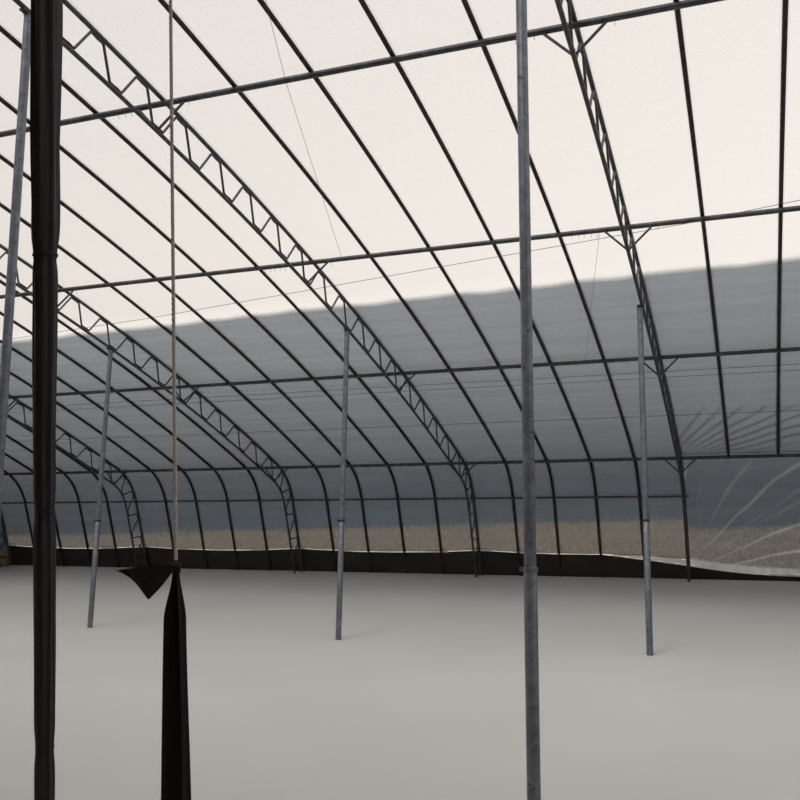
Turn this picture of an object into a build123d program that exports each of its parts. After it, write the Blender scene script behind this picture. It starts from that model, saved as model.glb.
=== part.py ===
from build123d import *
from math import acos, asin, cos, hypot, pi, radians, sin, sqrt, tan
import os

# Length of the house: ribs, trusses and bays, all along X
rib_pitch = 600.0
ribs_per_bay = 5
bay_count = 6
open_bay = 1

# Cross-section: distances (d) to the rear of a line near the front legs, heights from the ground
leg_lean = 15.5
eave_d = 602.0
eave_height = 1720.0
shoulder_radius = 900.0
roof_start_slope = 26.3
roof_radius = 38000.0
first_purlin_run = 2440.0
purlin_run = 2380.0
purlins_above_eave = 4
vent_width = 1160.0
rear_slope = 40.0
rear_aisle = 1390.0
shoulder_rail_height = 1172.0

# Steel sections, outside diameters
rib_diameter = 34.0
bottom_chord_diameter = 32.0
lacing_diameter = 20.0
purlin_diameter = 44.0
shoulder_rail_diameter = 27.0
brace_diameter = 20.0
post_diameter = 52.0
post_sleeve_diameter = 58.0
wire_diameter = 5.0

# Trusses and their knee braces
truss_depth = 270.0
lacing_turn = 30.0
panel_length = 500.0
leg_panel_length = 420.0
flat_share = 0.26
brace_spread = 190.0

# Posts: distances of foot and head, and the step aside of the pair beside the open bay
front_post_foot = 4960.0
front_post_head = 4580.0
rear_post_foot = 9500.0
rear_post_head = 9130.0
post_step = 22.0
post_sleeve_height = 1172.0
collar_height = 20.0
collar_thickness = 6.0
head_plate_length = 120.0
head_plate_width = 40.0
head_plate_thickness = 8.0

# Film, skirt and the loose sheet of the open bay
film_thickness = 4.0
skirt_thickness = 4.0
skirt_height = 375.0
skirt_dip = 45.0
open_skirt_height = 185.0
open_skirt_dip = 125.0
skirt_fall = 1200.0
short_rib_end = 80.0
loose_reach = 420.0
loose_side_gap = 30.0
loose_sag = 0.55
hem_diameter = 70.0

# Masonry and the rear roof
wall_thickness = 500.0
wall_bearing = 150.0
rear_roof_thickness = 100.0

# End frames
end_rail_height = 2400.0
end_stud_places = [2400.0, 7200.0, 11700.0]

# Taut wires under the ribs, and one that runs aslant, as (x, d) points, under the middle purlin
wire_places = [1670.0, 2570.0, 2700.0]
slant_wire_left = [(5400.0, 4420.0), (2400.0, 4660.0)]
slant_wire_right = (-5400.0, 5690.0)
slant_crossing = -3450.0
slant_room = 4.0

# Wrapped prop, rope and cloth in the rear half of the house
prop_x = -2110.0
prop_profile = [(0, 44), (800, 46), (1400, 50), (1900, 57), (2200, 60), (2400, 72), (3000, 84)]
rope_x = -2524.0
rope_diameter = 10.0
rope_end_height = 1500.0
hitch_height = 46.0
hitch_diameter = 40.0
knot_height = 40.0
knot_diameter = 34.0
cloth_length = 1100.0
cloth_neck = 130.0
cloth_neck_width = 55.0
cloth_width = 96.0
cloth_thickness = 22.0
flag_length = 146.0
flag_drop = 95.0
flag_thickness = 6.0

# Clearance between pieces that lie on each other, and sides of a modelled tube
seat_gap = 0.3
sides = 6
post_sides = 8

bay_length = rib_pitch * ribs_per_bay
house_length = bay_length * bay_count
truss_xs = [bay_length * (index - bay_count / 2) for index in range(bay_count + 1)]
start_slope = radians(roof_start_slope)
leg_slope = radians(90 - leg_lean)
below_ground = 80.0
os.makedirs("parts", exist_ok=True)


def corner(diameter, count=sides):
    """Corner radius of the regular polygon that has a round tube's area."""
    return diameter / 2 * sqrt(2 * pi / (count * sin(2 * pi / count)))


def flat(diameter, count=sides):
    """Distance from that polygon's centre to its flats."""
    return corner(diameter, count) * cos(pi / count)


def unit(start, end):
    """Direction from one (d, h) point to the next."""
    length = hypot(end[0] - start[0], end[1] - start[1])
    return ((end[0] - start[0]) / length, (end[1] - start[1]) / length)


def outward(points, index):
    """Outward mitre direction at a corner, and its length for a unit offset."""
    last = len(points) - 1
    before = unit(points[max(index - 1, 0)], points[max(index, 1)])
    after = unit(points[min(index, last - 1)], points[min(index + 1, last)])
    normal = (-before[1] - after[1], before[0] + after[0])
    size = hypot(normal[0], normal[1])
    return (normal[0] / size, normal[1] / size), 2 / size


def offset_line(points, distance):
    """The same run of straight stretches, moved outwards by a distance, with mitred corners."""
    moved = []
    for index, point in enumerate(points):
        normal, stretch = outward(points, index)
        reach = distance * stretch
        moved.append((point[0] + normal[0] * reach, point[1] + normal[1] * reach))
    return moved


def at_height(points, height):
    """Point where a rising run of straight stretches reaches a height, and its direction."""
    for start, end in zip(points, points[1:]):
        if end[1] >= height:
            break
    share = (height - start[1]) / (end[1] - start[1])
    return (start[0] + (end[0] - start[0]) * share, height), unit(start, end)


def at_distance(points, distance):
    """Point where a run of straight stretches passes a distance, and its direction."""
    for start, end in zip(points, points[1:]):
        if end[0] >= distance:
            break
    share = (distance - start[0]) / (end[0] - start[0])
    return (distance, start[1] + (end[1] - start[1]) * share), unit(start, end)


def along_line(points, station):
    """Point and direction at a length along a run of straight stretches."""
    for start, end in zip(points, points[1:]):
        length = hypot(end[0] - start[0], end[1] - start[1])
        heading = unit(start, end)
        if station <= length:
            break
        station -= length
    return (start[0] + heading[0] * station, start[1] + heading[1] * station), heading


def station_of(points, index):
    """Length along a run of straight stretches up to one of its corners."""
    legs = zip(points[:index], points[1 : index + 1])
    return sum(hypot(b[0] - a[0], b[1] - a[1]) for a, b in legs)


def shift(point, direction, distance):
    """Point moved along a (d, h) direction."""
    return (point[0] + direction[0] * distance, point[1] + direction[1] * distance)


# The rib's centre line: leg, shoulder arc, roof arc, ridge and rear slope
shoulder_run = shoulder_radius * (sin(leg_slope) - sin(start_slope))
shoulder_rise = shoulder_radius * (cos(start_slope) - cos(leg_slope))
foot_d = eave_d - shoulder_run - (eave_height - shoulder_rise) / tan(leg_slope)


def roof_point(run):
    """Point of the roof arc at a level distance behind the eave."""
    slope = asin(sin(start_slope) - run / roof_radius)
    return (eave_d + run, eave_height + roof_radius * (cos(slope) - cos(start_slope)))


def shoulder_point(share):
    """Point of the shoulder arc, from the leg (0) to the eave (1)."""
    slope = leg_slope + (start_slope - leg_slope) * share
    run = shoulder_radius * (sin(slope) - sin(start_slope))
    rise = shoulder_radius * (cos(slope) - cos(start_slope))
    return (eave_d - run, eave_height + rise)


purlin_runs = [0.0]
purlin_runs += [first_purlin_run + purlin_run * step for step in range(purlins_above_eave)]
purlin_runs.append(purlin_runs[-1] + vent_width)
purlin_runs.append(purlin_runs[-1] + vent_width)
purlin_names = ["eave_purlin", "lower_purlin", "middle_purlin", "upper_purlin", "rear_purlin"]
purlin_names += ["vent_purlin", "ridge_purlin"]

# Tubes are bent in steps around the shoulder, and a little at each purlin
shoulder_steps = 4
foot = (foot_d - below_ground / tan(leg_slope), -below_ground)
leg_line = [foot] + [shoulder_point(step / shoulder_steps) for step in range(shoulder_steps)]
eave_index = len(leg_line)
rib_line = leg_line + [roof_point(run) for run in purlin_runs]
ridge_index = len(rib_line) - 1
ridge = rib_line[-1]
rear_tangent = tan(radians(rear_slope))
wall_inner = ridge[0] + rear_aisle
wall_outer = wall_inner + wall_thickness
landing = (wall_inner + wall_bearing, ridge[1] - (rear_aisle + wall_bearing) * rear_tangent)
wall_top = landing[1]
frame_line = rib_line + [(landing[0] + rear_aisle, landing[1] - rear_aisle * rear_tangent)]
chord_line = offset_line(frame_line, -truss_depth)
purlin_corners = [eave_index + step for step in range(len(purlin_runs))]

rib_flat = flat(rib_diameter)
chord_flat = flat(bottom_chord_diameter)
film_inner = rib_flat + seat_gap
film_outer = film_inner + film_thickness
skirt_inner = film_outer + seat_gap
end_reach = house_length / 2 + corner(rib_diameter) + seat_gap
half_length = end_reach + film_thickness

# The low side faces -Y, and the house is centred on its own box
front_reach = loose_reach + corner(hem_diameter)
y_shift = (wall_outer - front_reach) / 2


def place(point, x=0.0):
    """Point of the house from a (d, h) point of the cross-section."""
    return Vector(x, point[0] - y_shift, point[1])


def toward(direction, x=0.0):
    """Direction of the house from a (d, h) direction."""
    return Vector(x, direction[0], direction[1])


def plate(points, x_low, x_high):
    """Flat-sided piece: a (d, h) outline carried along X."""
    wire = Polyline([place(point, x_low) for point in points], close=True)
    return extrude(make_face(wire), amount=x_high - x_low, dir=(1, 0, 0))


def tube(points, diameter):
    """Tube of few sides along a run of straight stretches, with mitred bends."""
    path = Polyline([place(point) for point in points])
    frame = Plane(origin=path @ 0, x_dir=(1, 0, 0), z_dir=place(points[1]) - path @ 0)
    section = frame * RegularPolygon(corner(diameter), sides)
    return sweep(section, path=path, transition=Transition.RIGHT)


def rod(start, end, diameter, side_dir, count=4, turn=0.0):
    """Straight bar of few sides between two points in space."""
    frame = Plane(origin=start, x_dir=side_dir, z_dir=end - start)
    section = frame * RegularPolygon(corner(diameter, count), count, rotation=turn)
    return extrude(section, amount=(end - start).length)


def long_tube(centre, heading, diameter, x_low, x_high):
    """Straight tube along X whose flats face the cross-section's outward direction."""
    start = place(centre, x_low)
    frame = Plane(origin=start, x_dir=toward(heading), z_dir=(1, 0, 0))
    return extrude(frame * RegularPolygon(corner(diameter), sides), amount=x_high - x_low)


def cut_below(solid, point, normal):
    """Keep what lies on the far side of a plane from its normal."""
    return split(solid, bisect_by=Plane(origin=point, z_dir=normal), keep=Keep.BOTTOM)


def write(name, pieces):
    """Save one node, as separate solids that share a name."""
    solids = [solid for piece in pieces for solid in piece.solids()]
    whole = solids[0] if len(solids) == 1 else Compound(children=solids)
    whole.label = name
    export_step(whole, "parts/" + name + ".step")


# Masonry rear wall, and the insulated panel of the short rear roof
wall_outline = [(wall_inner, 0), (wall_outer, 0), (wall_outer, wall_top), (wall_inner, wall_top)]
rear_wall = plate(wall_outline, -half_length, half_length)
write("rear_wall", [rear_wall])


def landing_of(distance):
    """Point where a line parallel to the rear slope reaches the wall's top."""
    start = offset_line(frame_line, distance)[ridge_index]
    return (start[0] + (start[1] - wall_top) / rear_tangent, wall_top)


panel_outer = film_inner + rear_roof_thickness
panel_outline = [offset_line(frame_line, film_inner)[ridge_index], landing_of(film_inner)]
panel_outline += [landing_of(panel_outer), offset_line(frame_line, panel_outer)[ridge_index]]
write("rear_roof", [plate(panel_outline, -half_length, half_length)])

# Everything below the ground or inside and behind the wall is cut off the frame
far = wall_outer + rear_aisle
ground = plate([(-far, 0), (far, 0), (far, -far), (-far, -far)], -far, far)
behind_wall = [(wall_inner, -far), (wall_inner, wall_top), (far, wall_top), (far, -far)]
wall_space = plate(behind_wall, -bay_length, bay_length)

# Plain ribs, four to a bay, that stop at the eave in the open bay
full_rib = tube(frame_line, rib_diameter) - ground - wall_space
short_line = [roof_point(-short_rib_end)] + frame_line[eave_index:]
short_rib = tube(short_line, rib_diameter) - wall_space
for bay in range(bay_count):
    model = short_rib if bay == open_bay else full_rib
    xs = [truss_xs[bay] + rib_pitch * index for index in range(1, ribs_per_bay)]
    write("ribs_bay_" + str(bay + 1), [Pos(x, 0, 0) * model for x in xs])

# Shoulder rail and purlins lie against the inner side of the ribs
rail_point, rail_heading = at_height(rib_line, shoulder_rail_height)
rail_inward = (rail_heading[1], -rail_heading[0])
rail_drop = rib_flat + seat_gap + flat(shoulder_rail_diameter)
rail_centre = shift(rail_point, rail_inward, rail_drop)
frame_end = house_length / 2 + corner(rib_diameter)
rail_runs = [(-frame_end, truss_xs[open_bay] + rib_pitch / 10)]
rail_runs.append((truss_xs[open_bay + 1] - rib_pitch / 10, frame_end))
rails = [long_tube(rail_centre, rail_heading, shoulder_rail_diameter, *run) for run in rail_runs]
write("shoulder_rail", rails)


def purlin_seat(index):
    """Centre of the purlin under a corner of the ribs, and the outward direction there."""
    normal, stretch = outward(frame_line, index)
    support = corner(purlin_diameter) * cos(pi / sides - acos(1 / stretch))
    drop = (rib_flat + seat_gap + support) * stretch
    return shift(frame_line[index], normal, -drop), normal


for name, index in zip(purlin_names, purlin_corners):
    centre, normal = purlin_seat(index)
    heading = (normal[1], -normal[0])
    write(name, [long_tube(centre, heading, purlin_diameter, -frame_end, frame_end)])

# Trusses: two chords joined by one lacing rod, bent to and fro and welded to both.
# The bottom chord is in two lengths, which meet below the eave.
lacing_corner = lacing_diameter / sqrt(3)
lacing_line = frame_line[:-1] + [landing]
lacing_high = offset_line(lacing_line, -rib_flat - seat_gap - lacing_corner / 2)
lacing_low = offset_line(lacing_line, chord_flat + seat_gap + lacing_corner - truss_depth)
lacing_ends = [0, shoulder_steps // 2 + 1] + purlin_corners + [len(lacing_line) - 1]
lacing_shares = [(flat_share / 2, lacing_low), (0.5 - flat_share / 2, lacing_high)]
lacing_shares += [(0.5 + flat_share / 2, lacing_high), (1 - flat_share / 2, lacing_low)]


def lacing_run(first, last):
    """Bends of the rod between two corners of the truss, where it lies on the bottom chord."""
    length = station_of(lacing_high, last) - station_of(lacing_high, first)
    panels = max(round(length / (panel_length if first else leg_panel_length)), 1)
    bends = []
    for panel in range(panels):
        for share, line in lacing_shares:
            start = station_of(line, first)
            reach = (station_of(line, last) - start) * (panel + share) / panels
            bends.append(along_line(line, start + reach)[0])
    return bends


lacing_bends = []
for first, last in zip(lacing_ends, lacing_ends[1:]):
    lacing_bends += lacing_run(first, last) + [lacing_low[last]]
lacing_path = Polyline([place(point) for point in lacing_bends[:-1]])
lacing_plane = Plane(
    origin=lacing_path @ 0, x_dir=(1, 0, 0), z_dir=place(lacing_bends[1]) - lacing_path @ 0
)
lacing_section = lacing_plane * RegularPolygon(lacing_corner, 3, rotation=lacing_turn)
lacing = sweep(lacing_section, path=lacing_path, transition=Transition.RIGHT)
weld_normal, _ = outward(chord_line, eave_index)
weld_ends = [shift(chord_line[eave_index], weld_normal, side * rib_diameter) for side in (1, -1)]
weld_heading = (weld_normal[1] * seat_gap, -weld_normal[0] * seat_gap)
weld_quad = weld_ends + [shift(end, weld_heading, 1) for end in reversed(weld_ends)]
weld_gap = plate(weld_quad, -rib_pitch / 2, rib_pitch / 2)
bottom_chord = tube(chord_line, bottom_chord_diameter) - weld_gap
truss_pieces = [tube(frame_line, rib_diameter), bottom_chord, lacing]
truss_pieces = [piece - ground - wall_space for piece in truss_pieces]
for index, x in enumerate(truss_xs):
    write("truss_" + str(index + 1), [Pos(x, 0, 0) * piece for piece in truss_pieces])

# Knee braces: a pair of thin legs from each bottom chord up to the purlin
brace_tilt = pi / sides


def knee_brace(index, x, side):
    """One leg, cut to the bottom chord's upper flat and the purlin's lower flat."""
    normal, stretch = outward(frame_line, index)
    centre = place(shift(frame_line[index], normal, -truss_depth * stretch), x)
    low = centre + Vector(side * corner(brace_diameter, 3), 0, 0)
    seat, _ = purlin_seat(index)
    high = place(shift(seat, normal, -flat(purlin_diameter)), x + side * brace_spread)
    axis = (high - low).normalized()
    across = toward((normal[1], -normal[0]))
    bar = rod(low, high + axis * purlin_diameter, brace_diameter, across, 3)
    bar = cut_below(bar, high - toward(normal) * seat_gap, toward(normal))
    face = Vector(side * cos(brace_tilt), 0, 0) + toward(normal) * sin(brace_tilt)
    return cut_below(bar, centre + face * (chord_flat + seat_gap), face * -1)


brace_ends = [(x, side) for x in truss_xs for side in (-1, 1)]
brace_ends = [(x, side) for x, side in brace_ends if abs(x + side * brace_spread) < frame_end]
for name, corners in (("front", purlin_corners[:2]), ("rear", purlin_corners[2:5])):
    braces = [knee_brace(index, x, side) for index in corners for x, side in brace_ends]
    write("knee_braces_" + name, braces)


# Posts lean a little to the front, with a small plate under the bottom chord
def head_of(distance):
    """Middle of the bottom chord's underside at a distance, and the chord's direction."""
    point, heading = at_distance(chord_line, distance)
    down = (heading[1], -heading[0])
    return shift(point, down, chord_flat), heading, down


def head_plate(distance, x):
    """Small flat plate against the underside of a bottom chord."""
    top, heading, down = head_of(distance)
    ends = [shift(top, heading, side * head_plate_length / 2) for side in (-1, 1)]
    low = [shift(end, down, head_plate_thickness) for end in reversed(ends)]
    return plate(ends + low, x - head_plate_width / 2, x + head_plate_width / 2)


def post_axis(foot_d, head_d):
    """Foot and head of a post's centre line, the head under its plate."""
    top, _, down = head_of(head_d)
    return (foot_d, 0.0), shift(top, down, head_plate_thickness)


def post_bar(start, end, diameter, x):
    """Bar with a post's many sides between two (d, h) points."""
    return rod(place(start, x), place(end, x), diameter, (1, 0, 0), post_sides)


def post(foot_d, head_d, x, sleeve=0.0):
    """Round post, cut level at the ground and to the slope of its head plate."""
    low, high = post_axis(foot_d, head_d)
    axis = unit(low, high)
    start = shift(low, axis, -post_sleeve_diameter)
    bar = post_bar(start, shift(high, axis, post_diameter), post_diameter, x)
    if sleeve:
        bar = bar + post_bar(start, shift(low, axis, sleeve), post_sleeve_diameter, x)
    _, _, down = head_of(head_d)
    bar = cut_below(bar, place(high, x), toward(down) * -1)
    return cut_below(bar, place(low, x), Vector(0, 0, -1))


def collar(x):
    """Clamp ring around the sleeve's upper end."""
    low, high = post_axis(front_post_foot, front_post_head)
    axis = unit(low, high)
    start = shift(low, axis, post_sleeve_height - collar_height - seat_gap)
    end = shift(start, axis, collar_height)
    outer = post_bar(start, end, post_sleeve_diameter + 2 * collar_thickness, x)
    return outer - post_bar(start, end, post_sleeve_diameter + 2 * seat_gap, x)


# The posts at both ends stand a little inside, so that the end film passes them
collar_width = post_sleeve_diameter + 2 * collar_thickness
end_post_x = end_reach - corner(collar_width, post_sides) - seat_gap
post_xs = [-end_post_x] + truss_xs[1:-1] + [end_post_x]
post_xs[open_bay + 1] += post_step
front_posts = [post(front_post_foot, front_post_head, x, post_sleeve_height) for x in post_xs]
rear_posts = [post(rear_post_foot, rear_post_head, x) for x in post_xs]
write("front_posts", front_posts)
write("rear_posts", rear_posts)
write("post_collars", [collar(x) for x in post_xs])
heads = [head_plate(d, x) for d in (front_post_head, rear_post_head) for x in post_xs]
write("post_head_plates", heads)

# End frames: studs under the end trusses, and two rails that stop at studs and posts
def post_stop(foot_d, head_d, height, width):
    """The stretch of an end rail that a post of that width takes at that height."""
    low, high = post_axis(foot_d, head_d)
    lean = (high[0] - low[0]) / high[1]
    half = corner(width, post_sides) + corner(rib_diameter) * abs(lean) + seat_gap
    return low[0] + lean * height - half, low[0] + lean * height + half


def stud_stop(stud_d):
    """The stretch of an end rail that a stud takes."""
    return stud_d - rib_flat - seat_gap, stud_d + rib_flat + seat_gap


def end_bar(low, high):
    """Bar of an end frame between two (d, h) points."""
    return rod(place(low), place(high), rib_diameter, (1, 0, 0), sides)


end_bars = []
for stud_d in end_stud_places:
    top, heading, down = head_of(stud_d)
    stud = end_bar((stud_d, 0), (stud_d, top[1] + post_diameter))
    end_bars.append(cut_below(stud, place(shift(top, down, seat_gap)), toward(down) * -1))
for height, front_width in ((shoulder_rail_height, collar_width), (end_rail_height, post_diameter)):
    start, heading = at_height(offset_line(chord_line, -chord_flat - seat_gap), height)
    stops = [stud_stop(d) for d in end_stud_places if head_of(d)[0][1] > height]
    stops.append(post_stop(front_post_foot, front_post_head, height, front_width))
    stops.append(post_stop(rear_post_foot, rear_post_head, height, post_diameter))
    ends = [start[0] - post_diameter, wall_inner - seat_gap]
    ends = sorted(ends + [edge for stop in stops for edge in stop])
    for low, high in zip(ends[::2], ends[1::2]):
        rail = end_bar((low, height), (high, height))
        end_bars.append(cut_below(rail, place(start), toward((-heading[1], heading[0]))))
write("end_frame_left", [Pos(-house_length / 2, 0, 0) * bar for bar in end_bars])
write("end_frame_right", [Pos(house_length / 2, 0, 0) * bar for bar in end_bars])


# Film in flat strips that follow the bends of the ribs
def strips(line, low, high, inner, outer, x_low, x_high):
    """Flat strips between two offsets of a line, one for each straight stretch."""
    near = offset_line(line, inner)
    wide = offset_line(line, outer)
    pieces = []
    for index in range(low, high):
        along = unit(line[index], line[index + 1])
        quad = [near[index], shift(near[index + 1], along, -seat_gap)]
        quad += [shift(wide[index + 1], along, -seat_gap), wide[index]]
        pieces.append(plate(quad, x_low, x_high))
    return pieces


open_low = truss_xs[open_bay] + corner(rib_diameter)
open_high = truss_xs[open_bay + 1] - corner(rib_diameter)
front = []
for x_low, x_high in ((-half_length, open_low), (open_high, half_length)):
    front += strips(frame_line, 0, eave_index, film_inner, film_outer, x_low, x_high)
write("front_film", [piece - ground for piece in front])
vent_corner = purlin_corners[-2]
main = strips(frame_line, eave_index, vent_corner, film_inner, film_outer, -half_length, half_length)
write("main_film", main)
vent = strips(frame_line, vent_corner, ridge_index, film_inner, film_outer, -half_length, half_length)
write("vent_film", vent)

# Film over both ends, inside the edge of the roof film
end_line = offset_line(frame_line, rib_flat)
end_outline = [at_height(end_line, 0.0)[0]] + end_line[1:-1]
end_ridge = end_line[ridge_index]
end_top = end_ridge[1] - (wall_inner - seat_gap - end_ridge[0]) * rear_tangent
end_outline += [(wall_inner - seat_gap, end_top), (wall_inner - seat_gap, 0)]
end_lows = [-half_length, end_reach]
write("end_films", [plate(end_outline, low, low + film_thickness) for low in end_lows])

# Black skirt: along the front, low across the open bay, and along both ends
leg_foot = at_height(offset_line(frame_line, skirt_inner), 0.0)[0]
leg_up = unit(leg_line[0], leg_line[1])
leg_out = (-leg_up[1], leg_up[0])


def skirt_top(x):
    """Height of the skirt's upper edge, which dips between trusses and in the open bay."""
    share = (x / bay_length + bay_count / 2) % 1
    dip = 4 * share * (1 - share)
    beyond = max(truss_xs[open_bay] - x, x - truss_xs[open_bay + 1])
    if beyond < 0:
        return open_skirt_height - open_skirt_dip * dip
    rise = skirt_height - skirt_dip * dip - open_skirt_height
    return open_skirt_height + rise * min(beyond / skirt_fall, 1)


skirt_steps = bay_count * 3
skirt_xs = [-half_length + 2 * half_length * step / skirt_steps for step in range(skirt_steps + 1)]
skirt_edge = [(x, skirt_top(x)) for x in skirt_xs]
skirt_edge += [(half_length, 0.0), (-half_length, 0.0)]
skirt_points = [place(shift(leg_foot, leg_up, height / leg_up[1]), x) for x, height in skirt_edge]
skirt_face = make_face(Polyline(skirt_points, close=True))
front_skirt = extrude(skirt_face, amount=skirt_thickness, dir=toward(leg_out))
write("front_skirt", [front_skirt - ground])
end_skirt = [at_height(end_line, 0.0)[0], (wall_inner - seat_gap, 0)]
end_skirt += [(wall_inner - seat_gap, skirt_height), at_height(end_line, skirt_height)[0]]
end_skirts = []
for side in (-1, 1):
    low = side * (half_length + seat_gap)
    high = low + side * skirt_thickness
    end_skirts.append(plate(end_skirt, min(low, high), max(low, high)))
write("end_skirts", end_skirts)

# Loose film of the open bay: over the cut ribs, then down and out to a rolled hem
hem_centre = (-loose_reach, flat(hem_diameter))
hem_top = flat(hem_diameter) * 2 + seat_gap
eave_outer = offset_line(frame_line, film_inner)[eave_index]
rib_heading = unit(roof_point(-short_rib_end), frame_line[eave_index])
loose_start = shift(eave_outer, rib_heading, -seat_gap)
loose_edge = shift(loose_start, rib_heading, -short_rib_end - film_thickness * 3)
loose_steps = 5
loose_line = [(-loose_reach - film_thickness, hem_top - film_thickness)]
for step in range(1, loose_steps):
    share = step / loose_steps
    run = loose_line[0][0] + (loose_edge[0] - loose_line[0][0]) * share ** (1 + loose_sag)
    loose_line.append((run, loose_line[0][1] + (loose_edge[1] - loose_line[0][1]) * share))
loose_line += [loose_edge, loose_start]
loose_low = truss_xs[open_bay] + loose_side_gap
loose_high = truss_xs[open_bay + 1] - loose_side_gap
loose = strips(loose_line, 0, loose_steps + 1, 0, film_thickness, loose_low, loose_high)
loose[0] = cut_below(loose[0], place((0, hem_top)), Vector(0, 0, -1))
write("loose_film", loose)
hem = long_tube(hem_centre, (1, 0), hem_diameter, loose_low, loose_high)
write("loose_film_hem", [hem])


# Taut wires: along the roof under the ribs, and one that runs aslant under the middle purlin
def under_rib(distance, reach):
    """Centre of a wire under the ribs at a distance, for its reach upwards, and the rib's heading."""
    point, heading = at_distance(rib_line, distance)
    down = (heading[1], -heading[0])
    return shift(point, down, rib_flat + seat_gap + reach), heading


wires = []
for wire_d in wire_places:
    centre, heading = under_rib(wire_d, flat(wire_diameter, 4))
    frame = Plane(origin=place(centre, -frame_end), x_dir=toward(heading), z_dir=(1, 0, 0))
    section = frame * RegularPolygon(corner(wire_diameter, 4), 4, rotation=45)
    wires.append(extrude(section, amount=2 * frame_end))
middle_seat, middle_normal = purlin_seat(purlin_corners[2])
wire_reach = corner(wire_diameter, 4)
crossing_drop = flat(purlin_diameter) + wire_reach + slant_room
slant_points = [place(under_rib(d, wire_reach)[0], x) for x, d in slant_wire_left]
slant_points.append(place(shift(middle_seat, middle_normal, -crossing_drop), slant_crossing))
slant_points.append(place(under_rib(slant_wire_right[1], wire_reach)[0], slant_wire_right[0]))
slant_path = Polyline(slant_points)
slant_plane = Plane(origin=slant_points[0], z_dir=slant_points[1] - slant_points[0])
slant_section = slant_plane * RegularPolygon(wire_reach, 4)
wires.append(sweep(slant_section, path=slant_path, transition=Transition.RIGHT))
write("taut_wires", wires)

# Prop wrapped in dark sheeting under the vent purlin
vent_seat, vent_normal = purlin_seat(purlin_corners[-2])
vent_under = shift(vent_seat, vent_normal, -flat(purlin_diameter) - seat_gap)
prop_rings = prop_profile + [(vent_under[1] + prop_profile[-1][1], prop_profile[-1][1])]
prop_sections = []
for height, width in prop_rings:
    prop_sections.append(Pos(0, 0, height) * RegularPolygon(corner(width, post_sides), post_sides))
prop = Pos(place((vent_under[0], 0), prop_x)) * loft(prop_sections, ruled=True)
prop = cut_below(prop, place(vent_under, prop_x), toward(vent_normal))
write("wrapped_prop", [prop])


# Rope under the vent purlin, with its hitch, its knot and the black cloth tied to it
def upright(low, high, diameter):
    """Upright bar of few sides on the rope's axis."""
    start = place((vent_under[0], low), rope_x)
    return rod(start, place((vent_under[0], high), rope_x), diameter, (1, 0, 0), sides)


hitch = upright(vent_under[1] - hitch_height, vent_under[1] + hitch_height, hitch_diameter)
hitch = cut_below(hitch, place(vent_under, rope_x), toward(vent_normal))
write("pull_rope", [upright(rope_end_height, vent_under[1] - hitch_height - seat_gap, rope_diameter)])
knot_top = rope_end_height - seat_gap
knot = upright(knot_top - knot_height, knot_top, knot_diameter)
write("rope_knots", [hitch, knot])
cloth_top = rope_end_height - knot_height - 2 * seat_gap
cloth_outline = [
    (-knot_diameter / 4, cloth_top),
    (-cloth_neck_width / 2, cloth_top - cloth_neck),
    (-cloth_width / 2, cloth_top - cloth_length),
    (cloth_width / 2, cloth_top - cloth_length),
    (cloth_neck_width / 2, cloth_top - cloth_neck),
    (knot_diameter / 4, cloth_top),
]


def hanging(outline, thickness):
    """Flat hanging piece: an (x, height) outline below the rope, given a thickness."""
    start = place((vent_under[0] - thickness / 2, 0), rope_x)
    wire = Polyline([start + Vector(x, 0, z) for x, z in outline], close=True)
    return extrude(make_face(wire), amount=thickness, dir=(0, 1, 0))


write("cloth_strip", [hanging(cloth_outline, cloth_thickness)])
flag_near = corner(knot_diameter) + seat_gap
flag_top = rope_end_height - seat_gap
flag_outline = [
    (flag_near, flag_top),
    (flag_near + flag_length, flag_top - flag_drop / 4),
    (flag_near + flag_length / 2, flag_top - flag_drop),
    (flag_near, flag_top - knot_height / 2),
]
write("cloth_flag", [hanging(flag_outline, flag_thickness)])
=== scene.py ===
"""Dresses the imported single-slope greenhouse: film, bent tube frame, posts, rope, cloth and masonry."""

import logging
import math
from dataclasses import dataclass, field
from enum import Enum, IntEnum
from typing import Callable, Sequence

import bpy
from mathutils import Matrix, Vector, noise


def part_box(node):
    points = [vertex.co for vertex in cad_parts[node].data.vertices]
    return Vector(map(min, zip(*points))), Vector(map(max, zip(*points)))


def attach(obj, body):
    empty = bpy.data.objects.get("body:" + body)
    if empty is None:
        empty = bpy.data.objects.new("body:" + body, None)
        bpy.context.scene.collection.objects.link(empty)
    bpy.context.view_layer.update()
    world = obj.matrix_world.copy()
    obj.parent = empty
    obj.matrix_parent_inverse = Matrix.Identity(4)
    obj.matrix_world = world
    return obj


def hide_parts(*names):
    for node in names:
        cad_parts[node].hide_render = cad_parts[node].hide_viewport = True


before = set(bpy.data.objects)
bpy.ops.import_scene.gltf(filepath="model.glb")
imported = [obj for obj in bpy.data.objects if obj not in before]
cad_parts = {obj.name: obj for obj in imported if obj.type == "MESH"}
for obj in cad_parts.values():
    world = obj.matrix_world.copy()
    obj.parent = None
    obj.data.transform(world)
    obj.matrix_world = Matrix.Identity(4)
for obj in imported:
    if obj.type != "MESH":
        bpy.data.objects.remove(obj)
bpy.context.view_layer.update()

MM = 0.001
BODY = "root"

Flat = tuple[float, float]
log = logging.getLogger("greenhouse")


def linear(code: str) -> tuple[float, float, float, float]:
    """Turns an sRGB hex code into the linear colour that Blender's sockets take.

    Args:
        code: Six hex digits after a hash sign.

    Returns:
        Linear red, green and blue, with an alpha of one.
    """
    parts = [int(code[at : at + 2], 16) / 255 for at in (1, 3, 5)]
    red, green, blue = (p / 12.92 if p <= 0.04045 else ((p + 0.055) / 1.055) ** 2.4 for p in parts)
    return (red, green, blue, 1.0)


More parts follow.
